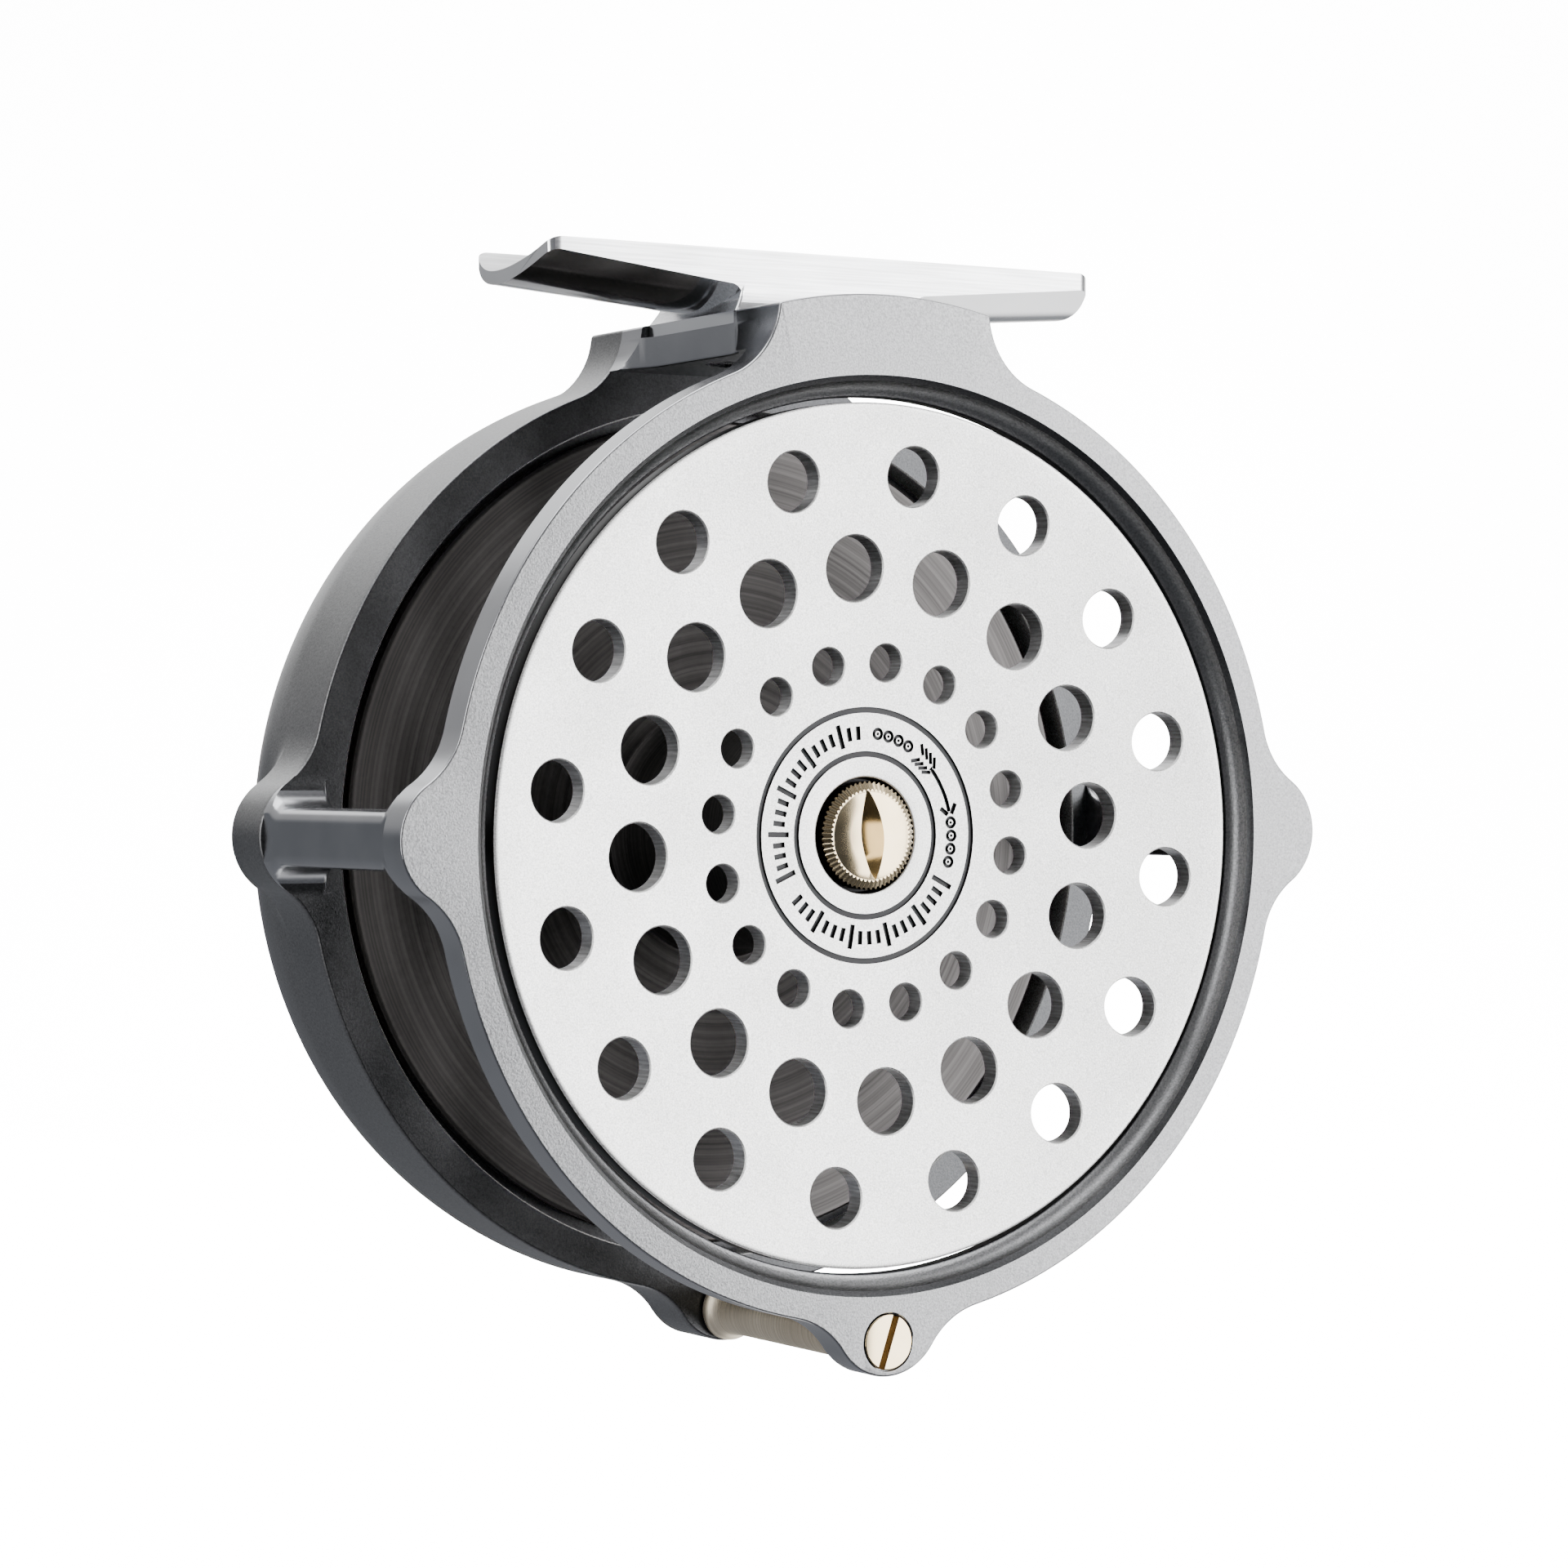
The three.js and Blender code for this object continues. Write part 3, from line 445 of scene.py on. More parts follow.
satin = metal("satin_aluminium", (0.175, 0.176, 0.18), (0.21, 0.211, 0.215), (0.34, 0.4),
              grain=(5200, 0.7), speckle=(0.75, 1.25))
side = metal("smooth_aluminium", (0.34, 0.345, 0.36), (0.40, 0.405, 0.42), (0.2, 0.26),
             grain=(9000, 0.08))
# Painted shade: a near-black copy of the cage's aluminium for the surfaces inside the opening and lip, in the
# pocket and between the rings.
inside_shade = metal("inner_aluminium_painted_shade", (0.05, 0.051, 0.053), (0.07, 0.071, 0.074), (0.34, 0.42),
              grain=(5200, 0.5), speckle=(0.8, 1.2))
plate_metal = metal("plate_aluminium", (0.66, 0.656, 0.648), (0.72, 0.716, 0.707), (0.42, 0.5),
                    grain=(6500, 0.5), speckle=(0.7, 1.22))
# Its near-black tone is painted shade for the arbor, the back flange and the plate's back inside the spool; its
# turned lines are real.
shaded_turned_metal = metal("turned_aluminium", (0.064, 0.061, 0.06), (0.074, 0.07, 0.069), (0.44, 0.5),
                     lines=(("turned", AXIS), 0.5), speckle=(0.6, 1.3))
bored = metal("bored_aluminium", (0.5, 0.5, 0.505), (0.62, 0.62, 0.625), (0.42, 0.5),
              lines=(("drawn", (1, 0.05, 1)), 0.6), speckle=(0.7, 1.25))
# Painted shade: a near-black metal for the engraved grooves, the lock screw's recess and the plate's rim in its
# gap.
painted_shade = metal("painted_shade_recess", (0.02, 0.02, 0.021), (0.04, 0.04, 0.041), (0.4, 0.5))
foot_metal = metal("bright_aluminium", (0.8, 0.805, 0.815), (0.88, 0.885, 0.895), (0.1, 0.16))
foot_side = metal("brushed_aluminium", (0.62, 0.625, 0.635), (0.74, 0.745, 0.755), (0.26, 0.38),
                  lines=(("drawn", (0.02, 1, 1)), 1.0), speckle=(0.8, 1.15))
nickel = metal("nickel_silver", (0.43, 0.35, 0.22), (0.5, 0.41, 0.265), (0.12, 0.18), cloud=300)
# Painted light: a much lighter copy of the nickel silver stands in for the light the roller catches; its brushed
# lines are real.
lit_roller_metal = metal("brushed_lit_nickel_silver", (0.78, 0.68, 0.52), (0.86, 0.77, 0.61), (0.42, 0.5),
                     lines=(("drawn", (0.03, 1, 0.03)), 1.0), speckle=(0.85, 1.12))
slot_painted_shade = metal("shaded_nickel_silver", (0.11, 0.08, 0.045), (0.15, 0.11, 0.065), (0.3, 0.4))
steel = metal("steel", (0.46, 0.465, 0.47), (0.56, 0.565, 0.57), (0.22, 0.32), cloud=400)
spring_metal = metal("spring_steel", (0.16, 0.18, 0.22), (0.24, 0.26, 0.31), (0.25, 0.35))
bronze = metal("bearing_bronze", (0.42, 0.28, 0.14), (0.52, 0.36, 0.2), (0.3, 0.42), cloud=400)


def resin():
    n = Nodes("dark_resin")
    where = n.coordinates()
    cloud = n.noise(n.stretched(where, (1, 0.25, 1)), 160, 5.0)
    tone = n.ramp(cloud, (0.0012, 0.0009, 0.0007), (0.006, 0.004, 0.0028))
    n.link(tone, n.shader.inputs["Base Color"])
    n.link(n.span(cloud, 0.12, 0.22), n.shader.inputs["Roughness"])
    n.shader.inputs["Coat Weight"].default_value = 0.5
    n.shader.inputs["Coat Roughness"].default_value = 0.05
    return n.material


resin_metal = resin()
SLOT_METALS = {
    "satin_aluminium": satin,
    "plate_aluminium": plate_metal,
    "turned_aluminium": shaded_turned_metal,
    "bright_aluminium": foot_metal,
    "nickel_silver": nickel,
    "steel": steel,
    "spring_steel": spring_metal,
    "bronze": bronze,
    "dark_resin": resin_metal,
}
for subpart in frame["record"]["subparts"]:
    node = frame["nodes"][subpart["node"]]
    node.data.materials.clear()
    node.data.materials.append(SLOT_METALS[subpart["material_slot"]])


# ---------------------------------------------------------------- cage


def polar(angle, radius):
    return Vector((radius * math.cos(math.radians(angle)), radius * math.sin(math.radians(angle))))


def lobe(direction):
    """Outline of a lobe and the angles where its hollows leave the ring."""
    reach = RING_R + LOBE_FILLET
    to_tip = LOBE_R + LOBE_FILLET
    cosine = (reach ** 2 + LOBE_CENTRE ** 2 - to_tip ** 2) / (2 * reach * LOBE_CENTRE)
    half = math.degrees(math.acos(cosine))
    rise = reach * math.sin(math.radians(half))
    run = reach * math.cos(math.radians(half)) - LOBE_CENTRE
    lean = math.degrees(math.atan2(rise, run))
    first = polar(direction - half, reach)
    tip = polar(direction, LOBE_CENTRE)
    last = polar(direction + half, reach)
    points = arc(*first, LOBE_FILLET, direction - half + 180, direction - lean + 180, 14)
    points += arc(*tip, LOBE_R, direction - lean, direction + lean, 48)[1:]
    points += arc(*last, LOBE_FILLET, direction + lean + 180, direction + half + 180, 14)[1:]
    return points, direction - half, direction + half


def platform():
    """Outline of the platform and the angles where its hollows leave the ring."""
    reach = RING_R + TOP_FILLET
    cosine = (reach ** 2 + TOP_FILLET ** 2 - TOP_R ** 2) / (2 * reach * TOP_FILLET)
    start = 270 - TOP_FILLET_ANGLE
    end = start - math.degrees(math.acos(cosine))
    right = polar(90 - TOP_FILLET_ANGLE, reach)
    side_curve = arc(*right, TOP_FILLET, start, end, 16)
    edge = math.degrees(math.acos(side_curve[-1].x / TOP_R))
    top = arc(0, 0, TOP_R, edge, 180 - edge, 36)
    corner = 0.45
    kept = [p for p in side_curve if (p - side_curve[-1]).length > corner]
    inside_top = [p for p in top if min((p - top[0]).length, (p - top[-1]).length) > corner]
    round_right = soften([tuple(kept[-1]), (*side_curve[-1], 9), tuple(inside_top[0])], 8, False)
    mirrored = [Vector((-p.x, p.y)) for p in reversed(kept)]
    round_left = [Vector((-p.x, p.y)) for p in reversed(round_right)]
    points = kept + round_right[1:-1] + inside_top + round_left[1:-1] + mirrored
    return points, 90 - TOP_FILLET_ANGLE, 90 + TOP_FILLET_ANGLE


def ring_outline():
    """(x, z) points round the ring: lobes right, left and below, and the platform on top."""
    features = [lobe(0), platform(), lobe(180), lobe(270)]
    points = []
    for index, (shape, _, leaves) in enumerate(features):
        following = features[(index + 1) % len(features)][1]
        if index == len(features) - 1:
            following += 360
        steps = max(4, round((following - leaves) / 1.2))
        points += shape + arc(0, 0, RING_R, leaves, following, steps)[1:-1]
    return points


def outward(outline):
    """The outline's normals."""
    count = len(outline)
    found = []
    for index in range(count):
        along = (outline[(index + 1) % count] - outline[index - 1]).normalized()
        found.append(Vector((along.y, -along.x)))
    return found


OUTLINE = ring_outline()
NORMALS = outward(OUTLINE)


def quarter(size, steps=4):
    """(offset inwards, distance along) of a round edge, from the face to the side."""
    turn = [math.pi / 2 * i / steps for i in range(steps + 1)]
    return [(size * (1 - math.sin(a)), size * (1 - math.cos(a))) for a in turn]


def ring_body(name, rows):
    """A ring of sections along the outline, one for each of its points.

    A row is ("round", radius, y), or ("edge", inset, y, radius, keep): the outline moved in by
    inset, with its height over the ring's radius scaled by keep and set on that radius.
    """
    sections = []
    for point, normal in zip(OUTLINE, NORMALS):
        direction = point.normalized()
        section = []
        for row in rows:
            if row[0] == "round":
                flat = direction * row[1]
                section.append((flat.x, row[2], flat.y))
                continue
            _, inset, y, radius, keep = row
            raised = point - normal * inset - direction * RING_R
            flat = direction * radius + raised * keep
            section.append((flat.x, y, flat.y))
        sections.append(section)
    return loft(name, sections, ring=True)


def curve(start, bend, end, steps):
    """A quadratic curve between two (u, v) points."""
    a, b, c = Vector(start), Vector(bend), Vector(end)
    spots = [i / steps for i in range(steps + 1)]
    return [a * (1 - t) ** 2 + b * 2 * t * (1 - t) + c * t * t for t in spots]


def front_ring():
    """The ring round the front plate, with a lip and a hollow inside it."""
    rows = [("edge", inset, RING_FRONT + 0.08 + along, RING_R, 1)
            for inset, along in quarter(EDGE_ROUND)]
    rows += [("edge", inset, RING_BACK - along, RING_R, 1)
             for inset, along in reversed(quarter(BACK_ROUND))]
    rows += [("round", OPENING_R + 0.3, RING_BACK), ("round", OPENING_R, RING_BACK - 0.3)]
    rows += [("round", OPENING_R, RING_FRONT + LIP_DEPTH),
             ("round", OPENING_R + 0.06, RING_FRONT + LIP_DEPTH - 0.1)]
    cove = curve((OPENING_R + 0.14, RING_FRONT + 2.16), (42.2, RING_FRONT + 1.7),
                 (42.4, RING_FRONT + 0.48), 12)
    rows += [("round", p.x, p.y) for p in cove]
    rows += [("round", LIP_R - 0.03, RING_FRONT + 0.05), ("round", LIP_R + 0.05, RING_FRONT)]
    return ring_body("front_ring", rows)


def cup():
    """The rear ring and the rounded cup behind it, from the pocket's edge round and back."""
    rows = [("edge", inset, CUP_FRONT + along, RING_R, 1) for inset, along in quarter(CUP_ROUND)]
    rows += [("edge", 0, y, RING_R, 1) for y in (28, 29, 31, LOBE_BACK - 0.1)]
    shoulder = [(LOBE_BACK, 0.985), (LOBE_BACK + 0.3, 0.8), (LOBE_BACK + 0.7, 0.58),
                (LOBE_BACK + 1.2, 0.36), (LOBE_BACK + 1.8, 0.17), (LOBE_BACK + 2.5, 0.05)]
    rows += [("edge", 0, y, RING_R, keep) for y, keep in shoulder]
    rows += [("edge", 0, LOBE_BACK + 3.2, RING_R - 0.06, 0)]
    tilt = math.degrees(math.asin((CUP_REAR - 0.6 - DOME_START) / DOME_ARC))
    dome = arc(RING_R - DOME_ARC, DOME_START, DOME_ARC, 7, tilt, 22)
    rows += [("round", p.x, p.y) for p in dome]
    last = dome[-1]
    rear = soften([tuple(last), (last.x - 0.5, CUP_REAR, 0.6), (REAR_OPENING_R, CUP_REAR, 0.35),
                   (REAR_OPENING_R, 42)], 5, False)
    rows += [("round", p.x, p.y) for p in rear[1:]]
    rows += [("round", 42, 39.4), ("round", 42, WEB_BACK), ("round", 40, WEB_BACK)]
    rows += [("round", 40, WEB_FRONT), ("round", POCKET_R, WEB_FRONT)]
    rows += [("round", POCKET_R, CUP_FRONT + 0.12)]
    rows += [("round", POCKET_R + 0.12, CUP_FRONT)]
    return ring_body("cup", rows)


def within(obj):
    """Keeps only what lies inside the rings' outline."""
    kept = [p - n * 0.02 for p, n in zip(OUTLINE, NORMALS)]
    outline = prism("within", kept, RING_BACK - 2, CUP_FRONT + 2)
    return boolean(obj, outline, "INTERSECT")


def pillar():
    """A side pillar, with a hollow fillet above and below it where it meets each ring."""
    near, far = RING_BACK, CUP_FRONT
    sections = []
    for face, inwards, fillet in ((near, 1, 1.4), (far, -1, 3.0)):
        turn = [math.pi / 2 * i / 10 for i in range(11)]
        spots = [(-0.8, fillet)]
        spots += [(fillet * (1 - math.cos(a)), fillet * (1 - math.sin(a))) for a in turn]
        rows = []
        for away, swell in spots:
            half = PILLAR_HALF + swell
            shape = soften([(PILLAR_INNER, -half, 0.5), (PILLAR_OUTER, -half, 1.2),
                            (PILLAR_OUTER, half, 1.4), (PILLAR_INNER, half, 0.5)], 7)
            rows.append([(x, face + inwards * away, z) for x, z in shape])
        sections += rows if inwards > 0 else rows[::-1]
    return within(loft("pillar", sections))


def bridge():
    """The bridge under the foot, which widens to each ring in a hollow fillet."""
    near, far = RING_BACK, CUP_FRONT
    spots = [-0.8] + [BRIDGE_FILLET * (1 - math.cos(math.pi / 2 * i / 14)) for i in range(15)]
    ys = [near + s for s in spots] + [far - s for s in reversed(spots)]
    sections = []
    for y in ys:
        away = min(BRIDGE_FILLET, max(0, min(y - near, far - y)))
        rise = BRIDGE_FILLET - math.sqrt(BRIDGE_FILLET ** 2 - (BRIDGE_FILLET - away) ** 2)
        half = BRIDGE_HALF + min(rise, BRIDGE_SPREAD)
        shape = soften([(-half, BRIDGE_UNDER, 0.25), (half, BRIDGE_UNDER, 0.25),
                        (half, TOP_R + 2), (-half, TOP_R + 2)], 3)
        sections.append([(x, y, z) for x, z in shape])
    return within(loft("bridge", sections))


def stood(obj):
    """Turns a shape from along Y to along Z."""
    return changed(obj, Matrix.Rotation(math.radians(90), 4, "X"))


def shifted(obj, x, y, z):
    return changed(obj, Matrix.Translation((x, y, z)))


web = turned("web", [
    (5.6, WEB_FRONT), (41, WEB_FRONT), (41, WEB_BACK), (9.6, WEB_BACK, 0.4), (9.6, 39, 0.3),
    (7.15, 39, 0.3),
    (7.15, 30.9), (5.6, 30.9),
], 128)
cage = front_ring()
left_pillar = changed(pillar(), Matrix.Scale(-1, 4, (1, 0, 0)))
fused(cage, cup(), web, pillar(), left_pillar, bridge())
seat = block("seat", -SEAT_HALF, SEAT_HALF, foot_low.y - 0.15, foot_high.y + 0.15,
             PEDESTAL_BOTTOM, TOP_R + 3)
screw_low, screw_high = local_box("foot_screw_left")
SCREW_X = -(screw_low.x + screw_high.x) / 2
foot_holes = [
    shifted(stood(turned("foot_hole", [
        (0, BRIDGE_UNDER - 1), (3.0, BRIDGE_UNDER - 1), (3.0, BRIDGE_UNDER + 0.3),
        (1.7, BRIDGE_UNDER + 1.5), (1.7, PEDESTAL_BOTTOM + 1), (0, PEDESTAL_BOTTOM + 1),
    ], 48)), x, FOOT_MIDDLE, 0)
    for x in (-SCREW_X, SCREW_X)
]
guard_hole = turned("guard_hole", [
    (0, RING_FRONT - 1), (AXLE_R + 1.22, RING_FRONT - 1), (AXLE_R + 0.14, RING_FRONT + 0.1),
    (AXLE_R + 0.14, RING_FRONT + 1.8), (1.6, RING_FRONT + 1.8), (1.6, 31.8), (0, 31.8),
], 64, middle=(0, GUARD.z))
regulator_hole = turned("regulator_hole", [
    (0, 38), (1.9, 38), (1.9, RING_R - 0.6), (2.6, RING_R + 2), (0, RING_R + 2),
], 48)
regulator_turn = Vector(joints["regulator_turn"]["axis"]).normalized()
REGULATOR_Y = local(joints["regulator_turn"]["pos_m"]).y
swing = Vector((0, 1, 0)).rotation_difference(regulator_turn)
TO_REGULATOR = Matrix.Translation((0, REGULATOR_Y, 0)) @ swing.to_matrix().to_4x4()
changed(regulator_hole, TO_REGULATOR)
cut(cage, seat, *foot_holes, guard_hole, regulator_hole)


def cage_faces(obj):
    """Blasted faces, smoother sides, painted shade on the surfaces inside (a near-black copy of the aluminium) and
    painted light on the pocket's wall, by where they lie.
    """
    for material in (side, inside_shade, plate_metal):
        obj.data.materials.append(material)
    for face in obj.data.polygons:
        middle = local(face.center)
        radius = math.hypot(middle.x, middle.z)
        is_flat = abs(face.normal.y) > 0.9
        if middle.y < RING_BACK + 0.1:
            in_opening = radius < OPENING_R + 0.15
            on_lip = radius < LIP_R + 0.02 and middle.y < RING_FRONT + 0.5
            if is_flat and middle.y < RING_FRONT + 0.1:
                face.material_index = 0
            elif in_opening or on_lip:
                face.material_index = 2
            elif radius < COVE_R:
                face.material_index = 0
            else:
                face.material_index = 1
        elif is_flat and middle.y < CUP_FRONT + 0.1:
            face.material_index = 2
        elif middle.y > DOME_START + 0.9 and radius > 36:
            face.material_index = 0
        # Painted light: the pocket's wall takes the plate's far lighter aluminium.
        elif abs(radius - POCKET_R) < 0.1 and middle.y < WEB_FRONT:
            face.material_index = 3
        elif radius < POCKET_R:
            face.material_index = 2
        else:
            face.material_index = int(middle.y < CUP_FRONT)


finished(cage, satin, "frame", ["frame_cage"], 28)
cage_faces(cage)


# ---------------------------------------------------------------- foot


SADDLE_DEPTH = FOOT_TOP - SADDLE_BOTTOM
SADDLE_R = (FOOT_HALF ** 2 + SADDLE_DEPTH ** 2) / (2 * SADDLE_DEPTH)


def foot_section(x):
    """One section of the foot: over the saddle from front to back, and back underneath."""
    end = foot_high.x
    share = (abs(x) - PEDESTAL_HALF) / (end - PEDESTAL_HALF)
    under = ROOT_UNDER + (TIP_UNDER - ROOT_UNDER) * share
    near = max(0, 1 - (abs(x) - PEDESTAL_HALF) / ROOT_FILLET)
    under -= ROOT_FILLET * (1 - math.sqrt(max(0, 1 - near ** 2)))
    tip = max(0, abs(x) - (end - 1))
    half = FOOT_HALF - 0.8 * (1 - math.sqrt(max(0, 1 - tip ** 2)))
    rise = EDGE_RISE + (LEFT_EDGE_RISE * share if x < 0 else 0)
    bulge = max(0, (abs(x) - BULGE_START) / (end - BULGE_START)) * END_BULGE
    reach = math.copysign(bulge, x)
    points = []
    for i in range(STATIONS + 1):
        v = -half + 2 * half * i / STATIONS
        points.append((v, SADDLE_BOTTOM + SADDLE_R - math.sqrt(SADDLE_R ** 2 - v ** 2)))
    spots = [1, 0.9, 0.8, 0.7, 0.6, 0.5, 0.4, 0.3, 0.2, 0.1, 0.03]
    for v in [half * k for k in spots] + [-half * k for k in reversed(spots)]:
        points.append((v, under + rise * (v / FOOT_HALF) ** 2))
    return [(x + reach * (1 - (v / FOOT_HALF) ** 2), FOOT_MIDDLE + v, z) for v, z in points]


def pedestal():
    """The block under the strip, with hollow sides that spread to its base."""
    edge, top = PEDESTAL_BOTTOM + 1.2, PEDESTAL_BOTTOM + 4.0
    levels = [(PEDESTAL_BOTTOM, 1)]
    levels += [(edge + (top - edge) * i / 10, (1 - i / 10) ** 1.5) for i in range(11)]
    levels += [(54, 0)]
    sections = []
    for z, share in levels:
        across = PEDESTAL_HALF + (PLINTH_HALF - PEDESTAL_HALF) * share
        along = FOOT_HALF + PLINTH_SPREAD * share
        shape = soften([(-across, FOOT_MIDDLE - along, 0.3), (across, FOOT_MIDDLE - along, 0.3),
                        (across, FOOT_MIDDLE + along, 0.3), (-across, FOOT_MIDDLE + along, 0.3)], 3)
        sections.append([(x, y, z) for x, y in shape])
    return loft("pedestal", sections)


def foot():
    """The strip with its pedestal, hollowed for the rod and drilled for two screws."""
    end = foot_high.x
    near = [PEDESTAL_HALF + ROOT_FILLET * i / 10 for i in range(11)] + [12.5, 15, 18, 21, 24, 27]
    near += [end - 1 + math.sin(math.pi / 2 * i / 8) for i in range(9)]
    xs = [-x for x in reversed(near)] + near
    body = loft("foot", [foot_section(x) for x in xs])
    support = pedestal()
    trough = []
    for x in (-13.0, 13.0):
        turn = [2 * math.pi * i / 256 for i in range(256)]
        middle = SADDLE_BOTTOM + SADDLE_R
        trough.append([(x, FOOT_MIDDLE + SADDLE_R * math.sin(a), middle - SADDLE_R * math.cos(a))
                       for a in turn])
    cut(support, loft("trough", trough))
    fused(body, support)
    holes = [shifted(stood(turned("hole", [
        (0, PEDESTAL_BOTTOM - 1), (1.5, PEDESTAL_BOTTOM - 1), (1.5, 51.4), (0, 51.4),
    ], 32)), x, FOOT_MIDDLE, 0) for x in (-SCREW_X, SCREW_X)]
    return cut(body, *holes)


def foot_faces(obj):
    """Brushed saddle and long sides, polished ends and underside."""
    obj.data.materials.append(foot_side)
    for face in obj.data.polygons:
        brushed = abs(face.normal.y) > 0.93 or face.normal.z > 0.5
        face.material_index = 1 if brushed else 0


reel_foot = foot()
finished(reel_foot, foot_metal, "frame", ["reel_foot"], 24)
foot_faces(reel_foot)

for name, x in (("foot_screw_left", -SCREW_X), ("foot_screw_right", SCREW_X)):
    head = turned(name + "_fine", [
        (0, 45.2), (2.5, 45.2, 0.15), (1.3, 46.4), (1.3, 50.9), (0, 50.9),
    ], 48)
    cut(head, block("slot", -3, 3, 44, 45.6, -0.35, 0.35))
    shifted(stood(head), x, FOOT_MIDDLE, 0)
    finished(head, steel, "frame", [name])


# ---------------------------------------------------------------- spool


def dish(radius):
    """How far the front plate's dished face lies behind the ring's front there."""
    return DISH_DEPTH - radius ** 2 / (2 * DISH_RADIUS)


def mark(name, start, end, inner_r, outer_r, depth):
    """A cutter for a shallow mark round the spindle, its ends in degrees clockwise from up."""
    turn = [(end - start) * i / 10 for i in range(11)]
    outline = [polar(90 - (start + a), outer_r) for a in turn]
    outline += [polar(90 - (end - a), inner_r) for a in turn]
    return prism(name, outline, -1, dish((inner_r + outer_r) / 2) + depth)


def stroke(name, start, end, width, depth):
    """A cutter for a straight mark between two points, each (degrees clockwise from up, radius)."""
    a, b = polar(90 - start[0], start[1]), polar(90 - end[0], end[1])
    across = (b - a).normalized().orthogonal() * width / 2
    middle = (a + b).length / 2
    return prism(name, [a + across, b + across, b - across, a - across], -1, dish(middle) + depth)


def engraving():
    """Cutters for an arrow between ringed dots, a scale of ticks and the circles round them."""
    depth = MARK_DEPTH
    middle = MARK_R
    marks = []
    for degrees in (8, 15.2, 22.4, 29.6, 83.2, 90.7, 98.2, 105.7):
        spot = polar(90 - degrees, middle)
        floor = dish(middle) + depth
        marks.append(turned("dot_ring", [(0.27, -1), (0.6, -1), (0.6, floor), (0.27, floor)], 28,
                            middle=tuple(spot)))
        marks.append(turned("dot", [(0, -1), (0.15, -1), (0.15, floor), (0, floor)], 12,
                            middle=tuple(spot)))
    marks.append(mark("shaft", 49, 77, middle - 0.2, middle + 0.2, depth))
    for degrees in (36, 39.5, 43, 46.5):
        for sign in (-1, 1):
            marks.append(stroke("feather", (degrees, middle + sign * 1.0),
                                (degrees + 4.5, middle + sign * 0.25), 0.36, depth))
    for sign in (-1, 1):
        marks.append(stroke("barb", (73.6, middle + sign * 0.85),
                            (78.6, middle + sign * 0.2), 0.45, depth))
    scale = [118 + 6 * i for i in range(20)] + [247 + 6 * i for i in range(19)]
    for index, degrees in enumerate(scale):
        long = 1.15 if index % 4 == 0 else 0.65
        marks.append(stroke("tick", (degrees, middle - long), (degrees, middle + long), 0.5, depth))
    for radius, half in ((11.8, 0.26), (7.65, 0.26)):
        floor = dish(radius) + 0.2
        marks.append(turned("groove", [(radius - half, floor), (radius - half - 0.3, -1),
                                       (radius + half + 0.3, -1), (radius + half, floor)], 192))
    return marks


def front_plate():
    """The dished plate with its chamfered holes, its engraving and the lock screw's recess."""
    front = [(r, dish(r)) for r in (PLATE_R - 0.5, 38, 35, 31, 27, 22, 17, 12.5, 9, 6.4)]
    back = [(r, dish(r) + PLATE_THICK) for r in (8.7, 16, 24, 32, PLATE_R - 0.3)]
    rim = dish(PLATE_R)
    plate = turned("front_plate", [
        (PLATE_R, rim + 0.12, 0.28), *front, (LOCK_RECESS_R, dish(LOCK_RECESS_R), 0.25),
        (LOCK_RECESS_R, LOCK_SEAT, 0.2), (2, LOCK_SEAT), (2, 5.8), (8.7, 5.8), *back,
        (PLATE_R, rim + PLATE_THICK - 0.1, 0.2),
    ], 256, 5)
    holes = []
    for radius, hole, first in PLATE_HOLES:
        face = dish(radius)
        for index in range(HOLES_IN_RING):
            spot = polar(first - 360 / HOLES_IN_RING * index, radius)
            hole_tool = turned("hole", [
                (0, face - 1), (hole + 1.12, face - 1), (hole, face + 0.12, 0.04),
                (hole, face + PLATE_THICK - 0.15), (hole + 1.2, face + PLATE_THICK + 1.05),
                (0, face + PLATE_THICK + 1.05),
            ], 56, 2, middle=tuple(spot))
            lean = Matrix.Identity(4)
            lean[1][0] = -spot.x / DISH_RADIUS
            lean[1][2] = -spot.y / DISH_RADIUS
            lean[1][3] = radius ** 2 / DISH_RADIUS
            holes.append(changed(hole_tool, lean))
    cut(plate, joined("holes", holes))
    return cut(plate, joined("marks", engraving()))


plate = front_plate()
finished(plate, plate_metal, "spool", ["spool_front_plate"], 26)
plate.data.materials.append(shaded_turned_metal)
plate.data.materials.append(painted_shade)
plate.data.materials.append(bored)
# Painted shade on the engraved grooves, the lock screw's recess and the plate's rim in its gap.
for face in plate.data.polygons:
    middle = local(face.center)
    radius = math.hypot(middle.x, middle.z)
    below = middle.y - dish(radius)
    in_hole = abs(face.normal.y) < 0.5 and 12.5 < radius < PLATE_R - 2
    mark_shade = LOCK_RECESS_R + 0.4 < radius < 13 and 0.04 < below < 0.5
    recess_shade = radius < LOCK_RECESS_R + 0.05 or (radius > PLATE_R - 0.1 and below > 0.2)
    # The plate's back takes the dark turned tone: painted shade inside the spool.
    behind = face.normal.y > 0.7 and below > 0.5
    face.material_index = 2 if mark_shade or recess_shade else 3 if in_hole else int(behind)

arbor = turned("arbor", [
    (9, 4.5, 0.2), (11.5, 4.5, 0.2), (11.5, 26.3), (12.6, FLANGE_FRONT), (9, FLANGE_FRONT),
    (9, 25.5), (6, 25.5), (6, 21), (9, 21),
], 128)
finished(arbor, shaded_turned_metal, "spool", ["spool_arbor"])

